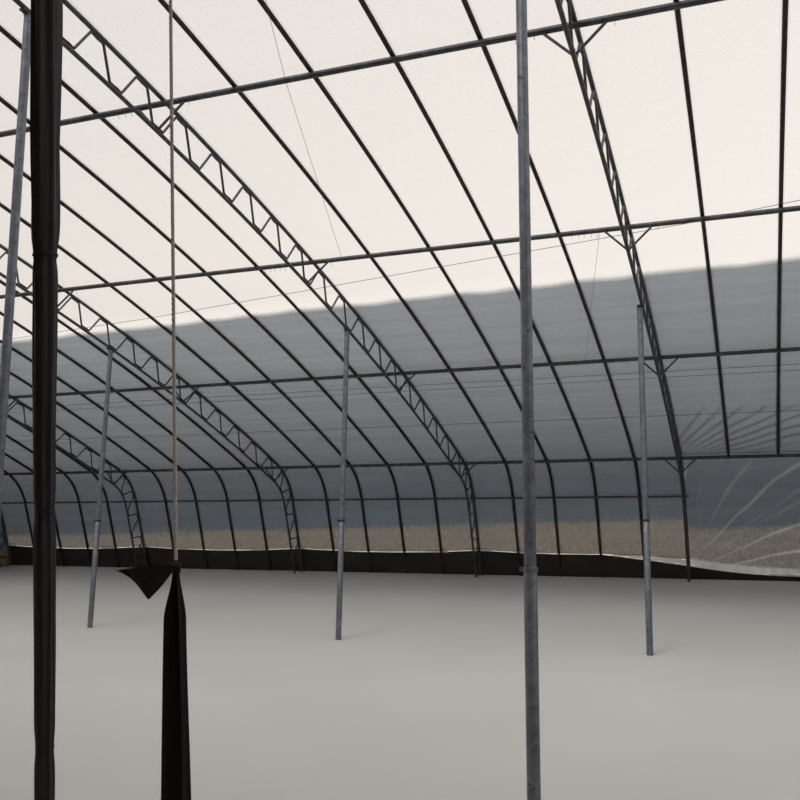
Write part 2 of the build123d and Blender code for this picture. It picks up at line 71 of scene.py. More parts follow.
def unit(start: Flat, end: Flat) -> Flat:
    """Gives the direction from one (d, h) point to another."""
    length = math.hypot(end[0] - start[0], end[1] - start[1])
    return ((end[0] - start[0]) / length, (end[1] - start[1]) / length)


def shift(point: Flat, direction: Flat, distance: float) -> Flat:
    """Moves a (d, h) point along a direction."""
    return (point[0] + direction[0] * distance, point[1] + direction[1] * distance)


def outward(points: Sequence[Flat], index: int) -> tuple[Flat, float]:
    """Gives the outward mitre direction at a point of a line, and its length for a unit offset."""
    last = len(points) - 1
    before = unit(points[max(index - 1, 0)], points[max(index, 1)])
    after = unit(points[min(index, last - 1)], points[min(index + 1, last)])
    normal = (-before[1] - after[1], before[0] + after[0])
    size = math.hypot(normal[0], normal[1])
    return (normal[0] / size, normal[1] / size), 2 / size


def offset_line(points: Sequence[Flat], distance: float) -> list[Flat]:
    """Moves a (d, h) line outwards by a distance, with mitred corners."""
    moved = []
    for index, point in enumerate(points):
        normal, stretch = outward(points, index)
        moved.append(shift(point, normal, distance * stretch))
    return moved


def lengths(points: Sequence[Flat]) -> list[float]:
    """Gives the length along a (d, h) line up to each of its points."""
    found = [0.0]
    for start, end in zip(points, points[1:]):
        found.append(found[-1] + math.hypot(end[0] - start[0], end[1] - start[1]))
    return found


def along(points: Sequence[Flat], station: float) -> tuple[Flat, Flat]:
    """Gives the point and the direction at a length along a (d, h) line."""
    heading = unit(points[0], points[1])
    for start, end in zip(points, points[1:]):
        length = math.hypot(end[0] - start[0], end[1] - start[1])
        heading = unit(start, end)
        if station <= length:
            break
        station -= length
    return shift(start, heading, station), heading


def at_distance(points: Sequence[Flat], distance: float) -> tuple[Flat, Flat]:
    """Gives the point and the direction where a (d, h) line passes a distance."""
    for start, end in zip(points, points[1:]):
        if end[0] >= distance:
            break
    share = (distance - start[0]) / (end[0] - start[0])
    return (distance, start[1] + (end[1] - start[1]) * share), unit(start, end)


def spline_points(name: str, route: Sequence[Vector], resolution: int = 24) -> list[Vector]:
    """Reads the points of the smooth NURBS line that a cord follows.

    Args:
        name: Name of the curve that is made for it.
        route: Control points, from the cord's exit to its far end.
        resolution: Points that the line is drawn with, for each run of it.

    Returns:
        Points along the smooth line.
    """
    curve = bpy.data.curves.new(name, "CURVE")
    curve.dimensions = "3D"
    spline = curve.splines.new("NURBS")
    spline.points.add(len(route) - 1)
    for point, place in zip(spline.points, route):
        point.co = (*place, 1.0)
    spline.order_u = 3
    spline.use_endpoint_u = True
    spline.resolution_u = resolution
    holder = bpy.data.objects.new(name, curve)
    read = [vertex.co.copy() for vertex in bpy.data.meshes.new_from_object(holder).vertices]
    bpy.data.objects.remove(holder)
    return read


def even(low: float, high: float, count: int) -> list[float]:
    """Gives both ends of a range and the places that divide it into equal steps."""
    return [low + (high - low) * at / count for at in range(count + 1)]


def spoke(angle: float) -> Vector:
    """Gives the level direction at an angle from the house's length."""
    return Vector((math.cos(angle), math.sin(angle), 0))


def waver(x: float, y: float, z: float) -> float:
    """Gives a smooth uneven value from -1 to 1 at a place."""
    return noise.noise(Vector((x, y, z)))


def placed(name: str, data: bpy.types.ID) -> bpy.types.Object:
    """Makes an object of a mesh, a camera or a lamp, and puts it in the scene."""
    made = bpy.data.objects.new(name, data)
    bpy.context.scene.collection.objects.link(made)
    return made


def eased(low: float, high: float, value: float) -> float:
    """Gives 0 below low and 1 above high, with a smooth rise between them."""
    share = min(max((value - low) / (high - low), 0.0), 1.0)
    return share * share * (3 - 2 * share)


def rounded(path: Sequence[Vector], radius: float, steps: int = 4) -> list[Vector]:
    """Rounds the corners of a path as a tube bender does.

    Args:
        path: Corner points.
        radius: Radius of each bend, cut down where the legs are short.
        steps: Points on each bend.

    Returns:
        The path's ends with a curve at each corner between them.
    """
    made = [path[0]]
    for before, corner, after in zip(path, path[1:], path[2:]):
        back, ahead = before - corner, after - corner
        turn = math.pi - back.angle(ahead)
        if turn < 0.01:
            made.append(corner)
            continue
        reach = min(radius * math.tan(turn / 2), back.length * 0.45, ahead.length * 0.45)
        start, end = corner + back.normalized() * reach, corner + ahead.normalized() * reach
        for step in range(steps + 1):
            share = step / steps
            made.append(start.lerp(corner, share).lerp(corner.lerp(end, share), share))
    return made + [path[-1]]


class Mark(IntEnum):
    """Places that the tubes' centre line passes, in order; those from the eave to the ridge bear purlins."""

    FOOT = 0
    SHOULDER = 1
    EAVE = 2
    LOWER = 3
    MIDDLE = 4
    UPPER = 5
    REAR = 6
    VENT = 7
    RIDGE = 8
    WALL = 9


@dataclass(frozen=True)
class CrossSection:
    """The house's section in metres: d runs back from a line near the front legs, h up from the ground."""

    rib_pitch: float = 0.6
    ribs_per_bay: int = 5
    bays: int = 6
    open_bay: int = 1
    leg_slope: float = math.radians(90 - 15.5)
    eave_d: float = 0.602
    eave_height: float = 1.72
    shoulder_radius: float = 0.9
    start_slope: float = math.radians(26.3)
    roof_radius: float = 38.0
    first_purlin_run: float = 2.44
    purlin_run: float = 2.38
    purlins_above_eave: int = 4
    vent_width: float = 1.16
    rear_slope: float = math.radians(40)
    rear_aisle: float = 1.39
    wall_thickness: float = 0.5
    wall_bearing: float = 0.15
    below_ground: float = 0.08
    tube_radius: float = 17 * MM
    truss_depth: float = 0.27
    ridge_bend: float = 0.12
    shoulder_steps: int = 16
    roof_steps: int = 6

    @property
    def bay_length(self) -> float:
        """Length of one bay between trusses."""
        return self.rib_pitch * self.ribs_per_bay

    @property
    def truss_xs(self) -> list[float]:
        """Places of the trusses along the house."""
        return [self.bay_length * (index - self.bays / 2) for index in range(self.bays + 1)]

    @property
    def end_x(self) -> float:
        """Half the length of the house over its end tubes."""
        return self.bay_length * self.bays / 2 + self.tube_radius

    @property
    def film_end(self) -> float:
        """Half the length of the house over its film."""
        return self.end_x + 4 * MM

    @property
    def open_span(self) -> tuple[float, float]:
        """Places of the two trusses beside the open bay."""
        return self.truss_xs[self.open_bay], self.truss_xs[self.open_bay + 1]

    @property
    def foot_d(self) -> float:
        """Distance at which the tubes' centre line meets the ground."""
        start, height = self.shoulder_point(0.0)
        return start - height / math.tan(self.leg_slope)

    def shoulder_point(self, share: float) -> Flat:
        """Gives a point of the shoulder arc, from the leg (0) to the eave (1)."""
        slope = self.leg_slope + (self.start_slope - self.leg_slope) * share
        run = self.shoulder_radius * (math.sin(slope) - math.sin(self.start_slope))
        rise = self.shoulder_radius * (math.cos(slope) - math.cos(self.start_slope))
        return (self.eave_d - run, self.eave_height + rise)

    def roof_point(self, run: float) -> Flat:
        """Gives a point of the roof arc at a level distance behind the eave."""
        slope = math.asin(math.sin(self.start_slope) - run / self.roof_radius)
        rise = self.roof_radius * (math.cos(slope) - math.cos(self.start_slope))
        return (self.eave_d + run, self.eave_height + rise)

    @property
    def purlin_runs(self) -> list[float]:
        """Level distances of the purlins behind the eave, from the eave to the ridge."""
        steps = range(self.purlins_above_eave)
        runs = [0.0] + [self.first_purlin_run + self.purlin_run * step for step in steps]
        return runs + [runs[-1] + self.vent_width, runs[-1] + 2 * self.vent_width]

    @property
    def wall_inner(self) -> float:
        """Distance of the rear wall's inner face."""
        return self.roof_point(self.purlin_runs[-1])[0] + self.rear_aisle

    @property
    def landing(self) -> Flat:
        """Where the tubes' centre line comes down on the wall."""
        ridge = self.roof_point(self.purlin_runs[-1])
        reach = self.rear_aisle + self.wall_bearing
        return (ridge[0] + reach, ridge[1] - reach * math.tan(self.rear_slope))

    def centre_line(self) -> tuple[list[Flat], list[int]]:
        """Works out the tubes' smooth centre line.

        Returns:
            The line's points, and the index of each Mark in them.
        """
        sink = self.below_ground
        line = [(self.foot_d - sink / math.tan(self.leg_slope), -sink)]
        steps = range(self.shoulder_steps)
        line += [self.shoulder_point(step / self.shoulder_steps) for step in steps]
        marks = [0, self.shoulder_steps // 2 + 1, len(line)]
        runs = self.purlin_runs
        for start, end in zip(runs, runs[1:]):
            steps = range(self.roof_steps)
            line += [self.roof_point(start + (end - start) * at / self.roof_steps) for at in steps]
            marks.append(len(line))
        line += [self.roof_point(runs[-1]), self.landing]
        return line, marks + [len(line) - 1]

    @property
    def y_shift(self) -> float:
        """Distance d that lies at y = 0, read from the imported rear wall."""
        return self.wall_inner + self.wall_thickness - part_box("rear_wall")[1].y

    def place(self, point: Flat, x: float = 0.0) -> Vector:
        """Gives the point of the house at a (d, h) point of the section."""
        return Vector((x, point[0] - self.y_shift, point[1]))

    def run_of(self, offset: float) -> list[Vector]:
        """Works out a tube's line from the ground to the wall.

        Args:
            offset: Distance outwards from the centre line.

        Returns:
            Points at x = 0, cut at the ground and at the wall, with the ridge bent round.
        """
        flat_line = offset_line(self.centre_line()[0], offset)
        return rounded([self.place(p) for p in self.clipped(flat_line)], self.ridge_bend)

    def clipped(self, line: Sequence[Flat]) -> list[Flat]:
        """Cuts a (d, h) line off below the ground and inside the rear wall."""
        kept: list[Flat] = []
        wall_top = self.landing[1]
        for start, end in zip(line, line[1:]):
            if end[1] <= 0 < start[1] or start[1] <= 0 < end[1]:
                share = -start[1] / (end[1] - start[1])
                kept.append((start[0] + (end[0] - start[0]) * share, 0.0))
            elif start[1] > 0:
                kept.append(start)
            if start[0] < self.wall_inner < end[0]:
                share = (self.wall_inner - start[0]) / (end[0] - start[0])
                height = start[1] + (end[1] - start[1]) * share
                if height < wall_top:
                    return kept + [(self.wall_inner, height)]
        return kept + [line[-1]]


SECTION = CrossSection()


class Shape:
    """Gathers the vertices and faces of one piece, and turns them into an object."""

    def __init__(self, name: str) -> None:
        """Starts an empty piece of that name."""
        self.name = name
        self.points: list[Vector] = []
        self.faces: list[tuple[int, ...]] = []
        self.values: dict[str, list[float]] = {}

    def grid(self, rows: Sequence[Sequence[Vector]], closed: bool = False) -> None:
        """Adds faces between rows of points.

        Args:
            rows: Rows of equally many points.
            closed: Whether each row is a ring.
        """
        start = len(self.points)
        width = len(rows[0])
        for row in rows:
            self.points.extend(row)
        for step in range(len(rows) - 1):
            for at in range(width if closed else width - 1):
                near = start + step * width + at
                far = start + step * width + (at + 1) % width
                self.faces.append((near, far, far + width, near + width))

    def surface(self, across: Sequence[float], up: Sequence[float],
                place: Callable[[float, float], Vector]) -> None:
        """Adds a sheet of faces.

        Args:
            across: Places of its columns.
            up: Places of its rows.
            place: Gives the point at a column and a row.
        """
        self.grid([[place(column, row) for column in across] for row in up])

    def rings(self, path: Sequence[Vector], ring: Callable[[int, float], float], sides: int,
              capped: bool = True) -> None:
        """Adds a tube whose radius may vary round and along it.

        Args:
            path: Centre line.
            ring: Gives the radius at a path index and an angle round the tube.
            sides: Points on each ring.
            capped: Whether both ends are closed.
        """
        rows, start = [], len(self.points)
        heading = (path[1] - path[0]).normalized()
        spare = Vector((1, 0, 0)) if abs(heading.x) < 0.9 else Vector((0, 0, 1))
        side = heading.cross(spare).normalized()
        for index, point in enumerate(path):
            before = path[max(index, 1)] - path[max(index, 1) - 1]
            last = min(index + 1, len(path) - 1)
            after = path[last] - path[last - 1]
            heading = (before.normalized() + after.normalized()).normalized()
            side = (side - heading * side.dot(heading)).normalized()
            other = heading.cross(side)
            row = []
            for at in range(sides):
                angle = 2 * math.pi * at / sides
                arm = side * math.cos(angle) + other * math.sin(angle)
                row.append(point + arm * ring(index, angle))
            rows.append(row)
        self.grid(rows, closed=True)
        if capped:
            self.faces.append(tuple(range(start + sides - 1, start - 1, -1)))
            last_ring = len(self.points) - sides
            self.faces.append(tuple(range(last_ring, last_ring + sides)))

    def tube(self, path: Sequence[Vector], radius: float, sides: int = 12) -> None:
        """Adds a round tube of one radius along a path."""
        self.rings(path, lambda index, angle: radius, sides)

    def slab(self, corners: Sequence[Vector], depth: Vector) -> None:
        """Adds a flat plate: an outline of corners carried along a depth."""
        start, count = len(self.points), len(corners)
        self.points += [*corners, *(corner + depth for corner in corners)]
        self.faces.append(tuple(range(start + count - 1, start - 1, -1)))
        self.faces.append(tuple(range(start + count, start + 2 * count)))
        for at in range(count):
            near, far = start + at, start + (at + 1) % count
            self.faces.append((near, far, far + count, near + count))

    def build(self, finish: "Finishes", *nodes: str, sharp: float = 40.0) -> bpy.types.Object:
        """Makes the object and fastens it to the frame.

        Args:
            finish: Surface finish, with its material slot.
            nodes: Nodes of the frame that the piece stands for.
            sharp: Angle in degrees above which an edge stays sharp.

        Returns:
            The finished object.
        """
        mesh = bpy.data.meshes.new(self.name)
        mesh.from_pydata(self.points, [], self.faces)
        for name, values in self.values.items():
            mesh.attributes.new(name, "FLOAT", "POINT").data.foreach_set("value", values)
        mesh.polygons.foreach_set("use_smooth", [True] * len(mesh.polygons))
        mesh.set_sharp_from_angle(angle=math.radians(sharp))
        mesh.validate()
        mesh.materials.append(finish.value.material())
        piece = placed(self.name, mesh)
        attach(piece, BODY)
        if nodes:
            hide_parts(*nodes)
        log.info("%s: %d faces, for %s", self.name, len(self.faces), ", ".join(nodes) or "no node")
        return piece


def add(tree: bpy.types.NodeTree, kind: str, inputs: dict | None = None,
        stops: Sequence[tuple] = (), **settings: object) -> bpy.types.Node:
    """Adds a shader node.

    Args:
        tree: The material's or world's node tree.
        kind: Blender's name of the node's type, after "ShaderNode".
        inputs: Numbers, hex codes and output sockets by the name or number of the input.
        stops: A ramp's places, each with a tone or a hex code.
        settings: The node's properties.

    Returns:
        The new node.
    """
    node = tree.nodes.new("ShaderNode" + kind)
    for name, value in settings.items():
        setattr(node, name, value)
    for _ in stops[2:]:
        node.color_ramp.elements.new(0.5)
    for element, (position, tone) in zip(node.color_ramp.elements if stops else (), stops):
        element.position = position
        element.color = linear(tone) if isinstance(tone, str) else (tone, tone, tone, 1.0)
    for key, value in (inputs or {}).items():
        if isinstance(value, bpy.types.NodeSocket):
            tree.links.new(value, node.inputs[key])
        else:
            node.inputs[key].default_value = linear(value) if isinstance(value, str) else value
    return node


class Graph:
    """A material's nodes, with one short call for each kind that the finishes share."""

    def __init__(self, tree: bpy.types.NodeTree) -> None:
        """Starts with the shader and with the object's coordinates in metres."""
        self.tree = tree
        self.shader = tree.nodes["Principled BSDF"]
        self.place = add(tree, "TexCoord").outputs["Object"]
        self.parts = add(tree, "SeparateXYZ", {0: self.place}).outputs

    def noise(self, scale: float, detail: float = 2.0, roughness: float = 0.5,
              place: bpy.types.NodeSocket | None = None) -> bpy.types.NodeSocket:
        """Gives noise from 0 to 1, at a scale in patches for each metre."""
        inputs = {"Scale": scale, "Detail": detail, "Roughness": roughness, "Vector": place or self.place}
        return add(self.tree, "TexNoise", inputs).outputs[0]

    def bands(self, axis: str, scale: float, **settings: object) -> bpy.types.NodeSocket:
        """Gives even bands across an axis."""
        distortion = settings.pop("distortion", 0.0)
        inputs = {"Scale": scale, "Distortion": distortion, "Vector": self.place}
        return add(self.tree, "TexWave", inputs, bands_direction=axis, **settings).outputs["Fac"]

    def attribute(self, name: str) -> bpy.types.NodeSocket:
        """Gives a value that the piece's points carry."""
        return add(self.tree, "Attribute", attribute_name=name).outputs["Fac"]

    def remap(self, value: bpy.types.NodeSocket, low: float, high: float,
              start: float = 0.0, end: float = 1.0) -> bpy.types.NodeSocket:
        """Carries a value from one range to another, and holds it within that."""
        return add(self.tree, "MapRange", {0: value, 1: low, 2: high, 3: start, 4: end}).outputs[0]

    def ramp(self, value: bpy.types.NodeSocket, stops: Sequence[tuple]) -> bpy.types.NodeSocket:
        """Gives the tone or colour of a ramp at a value."""
        return add(self.tree, "ValToRGB", {"Fac": value}, stops).outputs[0]

    def math(self, operation: str, *values: object, clamp: bool = False) -> bpy.types.NodeSocket:
        """Gives the result of an operation on numbers and sockets."""
        inputs = dict(enumerate(values))
        return add(self.tree, "Math", inputs, operation=operation, use_clamp=clamp).outputs[0]

    def mix(self, share: object, first: object, second: object, blend: str = "MIX") -> bpy.types.NodeSocket:
        """Gives a mix of two colours, each a hex code or a socket."""
        inputs = {0: share, 6: first, 7: second}
        return add(self.tree, "Mix", inputs, data_type="RGBA", blend_type=blend).outputs[2]

    def feed(self, **inputs: bpy.types.NodeSocket) -> None:
        """Feeds the shader's inputs, by their names in small letters with an underscore for a space."""
        for name, socket in inputs.items():
            self.tree.links.new(socket, self.shader.inputs[name.replace("_", " ").title()])

    def bump(self, height: bpy.types.NodeSocket, strength: float, depth: float) -> None:
        """Feeds the shader a relief of a depth in metres."""
        inputs = {"Strength": strength, "Distance": depth, "Height": height}
        self.feed(normal=add(self.tree, "Bump", inputs).outputs[0])


@dataclass(frozen=True)
class Finish:
    """A surface finish: the values that hold all over it, and the nodes that vary it."""

    name: str
    slot: str = ""
    colour: str = "#808080"
    roughness: float = 0.5
    metallic: float = 0.0
    ior: float = 1.5

    def material(self) -> bpy.types.Material:
        """Gives the finish's material, made when it is first asked for."""
        made = bpy.data.materials.get(self.name)
        if made is None:
            made = bpy.data.materials.new(self.name)
            made.use_nodes = True
            shader = made.node_tree.nodes["Principled BSDF"]
            shader.inputs["Base Color"].default_value = linear(self.colour)
            shader.inputs["Roughness"].default_value = self.roughness
            shader.inputs["Metallic"].default_value = self.metallic
            shader.inputs["IOR"].default_value = self.ior
            self.dress(Graph(made.node_tree))
        return made

    def dress(self, graph: Graph) -> None:
        """Adds the nodes that vary the finish over the surface."""


@dataclass(frozen=True)
class DrawnSteel(Finish):
    """Hot-dip galvanised steel tube, drawn and weathered.

    The zinc has gone dull, and the trusses' and ribs' base colours are darkened further as painted shade of
    a frame seen against the light, so the eye sees a soft grey sheen broken by paler bloom and by brown rust
    that starts in spots.
    """

    metallic: float = 0.75
    bloom: str = "#9a9c9d"
    rust: str = "#4a352a"
    bloom_share: float = 0.35
    rust_share: float = 0.25
    patch_size: float = 60 * MM
    spangle_size: float = 9 * MM

    def dress(self, graph: Graph) -> None:
        """Adds zinc bloom, rust spots and a fine uneven skin."""
        patches = graph.noise(1 / self.patch_size, 4.0)
        bloom = graph.ramp(patches, [(0.62 - self.bloom_share * 0.5, 0.0), (0.72, 1.0)])
        grey = graph.mix(bloom, self.colour, self.bloom)
        spots = graph.noise(3 / self.patch_size, 6.0, 0.65)
        rusty = graph.ramp(spots, [(0.66 - self.rust_share * 0.4, 0.0), (0.7, 1.0)])
        rough = graph.remap(rusty, 0.0, 1.0, self.roughness, self.roughness + 0.3)
        graph.feed(base_color=graph.mix(rusty, grey, self.rust), roughness=rough)
        graph.bump(graph.noise(1 / self.spangle_size, 3.0), 0.25, 0.4 * MM)


@dataclass(frozen=True)
class BlownFilm(Finish):
    """Blown polyethylene house film, tight over the ribs.

    The upper roof is clear with a warm tone that cools toward the ridge. From a line below the
    middle purlin down to the shoulder it is hazed blue-grey with fine dew and dust, rain has splashed
    its foot with mud, and behind the black skirt it stays clean.
    """

    roughness: float = 0.22
    ior: float = 1.51
    mud: str = "#8f7a5c"
    # Colour of the painted highlight on fold crests, also the pale of gathered film and of the marks beside
    # the ribs.
    pale_and_highlight: str = "#f2efe9"
    pale_and_highlight_cover: float = 0.45
    pale_and_highlight_gain: float = 0.9
    mud_cover: float = 0.88
    haze_line: float = 6.19
    haze_blur: float = 0.05
    haze_slope: float = 0.026
    mud_line: float = 0.78
    mottle_size: float = 45 * MM
    far_grey: float = 0.2
    dew_size: float = 9 * MM
    rib_mark: float = 0.25
    top: float = 14.0

    @property
    def layers(self) -> list[tuple[float, str, float]]:
        """Colours and covers from the ground up, each at a length along the section."""
        return [(self.mud_line - 0.03, self.mud, self.mud_cover), (self.mud_line + 0.05, "#60778e", 0.94),
                (1.2, "#60778e", 0.94), (2.8, "#7c95aa", 0.89),
                (self.haze_line - self.haze_blur, "#9bb6cb", 0.82),
                (self.haze_line + self.haze_blur, "#f2e4d4", 0.05), (7.2, "#f2e4d4", 0.05),
                (11.5, "#b9c6ea", 0.14)]

    def dress(self, graph: Graph) -> None:
        """Adds haze by the length along the section, marks beside the ribs, painted highlights on fold
        crests, dew and draw lines.
        """
        run, fold, skirted = (graph.attribute(name) for name in ("station", "fold", "skirted"))
        x = graph.parts[0]
        drift = graph.noise(1.3, 5.0)
        wander = graph.remap(drift, 0.0, 1.0, -0.06, 0.06)
        wavy = graph.math("ADD", graph.math("MULTIPLY_ADD", x, self.haze_slope, run), wander)
        share = graph.remap(wavy, 0.0, self.top)
        tone = graph.ramp(share, [(at / self.top, colour) for at, colour, _ in self.layers])
        thick = graph.ramp(share, [(at / self.top, cover) for at, _, cover in self.layers])
        cover = graph.math("MULTIPLY", thick, graph.remap(skirted, 0.0, 6 * MM, 1.0, 0.06))
        beside = graph.math("PINGPONG", x, SECTION.rib_pitch / 2)
        ribs = graph.remap(beside, 17 * MM, 34 * MM, self.rib_mark, 0.0)
        dew = graph.remap(graph.noise(1 / self.dew_size), 0.55, 0.75, 0.0, 0.12)
        marks = graph.math("MULTIPLY", ribs, drift)
        # white: painted highlight on fold crests from the fold value, with the pale of gathered film and the
        # rib marks.
        white = graph.math("MULTIPLY_ADD", fold, self.pale_and_highlight_cover, marks, clamp=True)
        drawn = add(graph.tree, "Mapping", {"Scale": (0.35, 9.0, 9.0), "Vector": graph.place}).outputs[0]
        streaks = graph.noise(1.0, 6.0, place=drawn)
        speck = graph.remap(graph.noise(1 / self.mottle_size, 5.0, 0.7), 0.25, 0.75, -1.0, 1.0)
        soiled = graph.remap(wavy, self.mud_line, self.mud_line + 0.15, 0.85, 0.1)
        dappled = graph.math("MULTIPLY_ADD", speck, soiled, graph.remap(streaks, 0.3, 0.7, 0.85, 1.15))
        toned = graph.mix(1.0, tone, dappled, "MULTIPLY")
        covered = graph.math("MULTIPLY_ADD", white, self.pale_and_highlight_gain, cover)
        dewy = graph.math("ADD", covered, dew, clamp=True)
        distant = graph.remap(x, -5.0, 5.0, 0.0, self.far_grey)
        upper = graph.remap(wavy, self.haze_line, self.haze_line + 0.3)
        dull = graph.math("MULTIPLY", distant, upper)
        alpha = add(graph.tree, "Mix", {0: dull, 2: dewy, 3: 1.0}, data_type="FLOAT").outputs[0]
        graph.feed(base_color=graph.mix(white, toned, self.pale_and_highlight), alpha=alpha)
        graph.bump(streaks, 0.3, 3 * MM)


@dataclass(frozen=True)
class SlackFabric(Finish):
    """Dark sheeting or cloth, woven or blown, with a weave and dust in its creases."""

    dust: str = "#3a3634"
    dust_share: float = 0.3
    thread: float = 1.6 * MM
    weave_depth: float = 0.25 * MM

    def dress(self, graph: Graph) -> None:
        """Adds the weave, drawn at about twice its real thread so that it shows, and dust."""
        dusty = graph.remap(graph.noise(7.0, 6.0), 0.45, 0.75, 0.0, self.dust_share)
        scale = 1 / (self.thread * 2 * math.pi)
        warp, weft = (graph.bands(axis, scale, distortion=0.4) for axis in "XZ")
        graph.feed(base_color=graph.mix(dusty, self.colour, self.dust))
        graph.bump(graph.math("MULTIPLY", warp, weft), 0.5, self.weave_depth)


@dataclass(frozen=True)
class LaidCord(Finish):
    """Twisted polypropylene cord, weathered: pale fibres with grey dirt in the lay."""

    dirt: str = "#5d584f"
    fibre: float = 0.8 * MM

    def dress(self, graph: Graph) -> None:
        """Adds fine fibres and dirt."""
        hairs = graph.noise(1 / self.fibre, 3.0)
        graph.feed(base_color=graph.mix(hairs, self.dirt, self.colour))
        graph.bump(hairs, 0.6, 0.3 * MM)


@dataclass(frozen=True)
class ClayBrick(Finish):
    """Fired clay brick laid in cement mortar, with rain marks in broad patches."""

    burnt: str = "#6b4436"
    mortar: str = "#a39c92"
    stain: str = "#7d7467"
    brick_length: float = 240 * MM
    course: float = 63 * MM
    joint: float = 10 * MM
    grit_size: float = 6 * MM

    def dress(self, graph: Graph) -> None:
        """Adds courses at their real size on the faces along the house and across it."""
        level = graph.math("ADD", graph.parts[0], graph.parts[1])
        wall = add(graph.tree, "CombineXYZ", {0: level, 1: graph.parts[2]}).outputs[0]
        bond = add(graph.tree, "TexBrick",
                   {"Scale": 1.0, "Brick Width": self.brick_length + self.joint, "Row Height": self.course,
                    "Mortar Size": self.joint / 2, "Mortar Smooth": 0.3, "Bias": 0.0, "Color1": self.colour,
                    "Color2": self.burnt, "Mortar": self.mortar, "Vector": wall}).outputs
        stained = graph.remap(graph.noise(0.9, 6.0), 0.35, 0.7, 0.0, 0.45)
        graph.feed(base_color=graph.mix(stained, bond["Color"], self.stain))
        grit = graph.noise(1 / self.grit_size, 4.0)
        graph.bump(graph.math("MULTIPLY_ADD", bond["Fac"], -4.0, grit), 0.7, 2 * MM)


@dataclass(frozen=True)
class CoatedSheet(Finish):
    """Roll-formed steel sheet with a baked grey coat, dulled by dust."""

    dust: str = "#8e8a80"
    rib_pitch: float = 0.2

    def dress(self, graph: Graph) -> None:
        """Adds the rolled ribs as relief, and dust that gathers in patches."""
        wave = graph.bands("X", 1 / (self.rib_pitch * 20), wave_profile="TRI")
        dusty = graph.remap(graph.noise(2.0, 6.0), 0.4, 0.7, 0.0, 0.6)
        graph.feed(base_color=graph.mix(dusty, self.colour, self.dust))
        graph.bump(graph.remap(wave, 0.7, 0.85), 1.0, 12 * MM)


@dataclass(frozen=True)
class PaleFloor(Finish):
    """Plain pale studio floor with a barely uneven tone."""

    shade: str = "#bdb7af"

    def dress(self, graph: Graph) -> None:
        """Adds a faint drift of tone."""
        graph.feed(base_color=graph.mix(graph.noise(0.5), self.colour, self.shade))


class Finishes(Enum):
    """The finishes of this house, each with the record's material slot that it stands for."""

    # The trusses' base and bloom colours are kept dark as painted shade of a frame seen against the light,
    # on top of the zinc's weathering.
    TRUSS = DrawnSteel("galvanised_tube_weathered_and_shaded", "galvanised_pipe", "#46484b", 0.42, 0.5,
                       bloom="#5f6265", bloom_share=0.25)
    # The ribs' dark base colour is partly rust and partly painted shade of ribs seen against the light.
    RIB = DrawnSteel("bare_tube_rusted_and_shaded", "weathered_pipe", "#2c2826", 0.5, 0.5,
                     bloom="#4b4643", rust="#33241d", rust_share=0.6)
    POST = DrawnSteel("galvanised_post_pipe", "post_pipe", "#6c7178", 0.4, 0.5,
                      bloom="#868b92", bloom_share=0.4)
    CLAMP = DrawnSteel("painted_band_clamp", "dark_clamp", "#1d1c1d", 0.55, 0.3,
                       bloom="#333132", rust="#3a2a22")
    WIRE = DrawnSteel("drawn_tie_wire", "wire", "#3d3b3a", 0.45, 0.7, bloom="#5a5858")
    FILM = BlownFilm("blown_film_roof", "clear_film")
    # On the slack sheet the fold crests take the painted highlight colour almost fully, beside the pale of
    # gathered film.
    SLACK_FILM = BlownFilm("blown_film_slack", "clear_film", mud="#948779", mud_cover=0.9,
                           pale_and_highlight_cover=0.95, pale_and_highlight_gain=-0.14, mud_line=0.6, rib_mark=0.0)
    HEM = BlownFilm("blown_film_bundled", "clear_film", mud="#e6dfd6", mud_cover=0.95, rib_mark=0.0)
    SKIRT = SlackFabric("blown_black_film", "black_film", "#1a1717", 0.42, dust="#3b3531", dust_share=0.4)
    WRAP = SlackFabric("woven_wrap_dark", "dark_wrap", "#1f1a1e", 0.6, dust="#332c2f", thread=2.5 * MM)
    CLOTH = SlackFabric("woven_cloth_black", "black_cloth", "#070608", 0.75, dust="#1c1718", thread=1.2 * MM)
    ROPE = LaidCord("laid_cord_weathered", "rope", "#e3e0d6", 0.8, dirt="#a29c8f")
    BRICK = ClayBrick("fired_clay_brick", "", "#8d5a44", 0.9)
    SHEET = CoatedSheet("coated_roll_formed_sheet", "", "#9aa0a3", 0.45)
    FLOOR = PaleFloor("pale_studio_floor", "", "#cbc6be", 0.85)


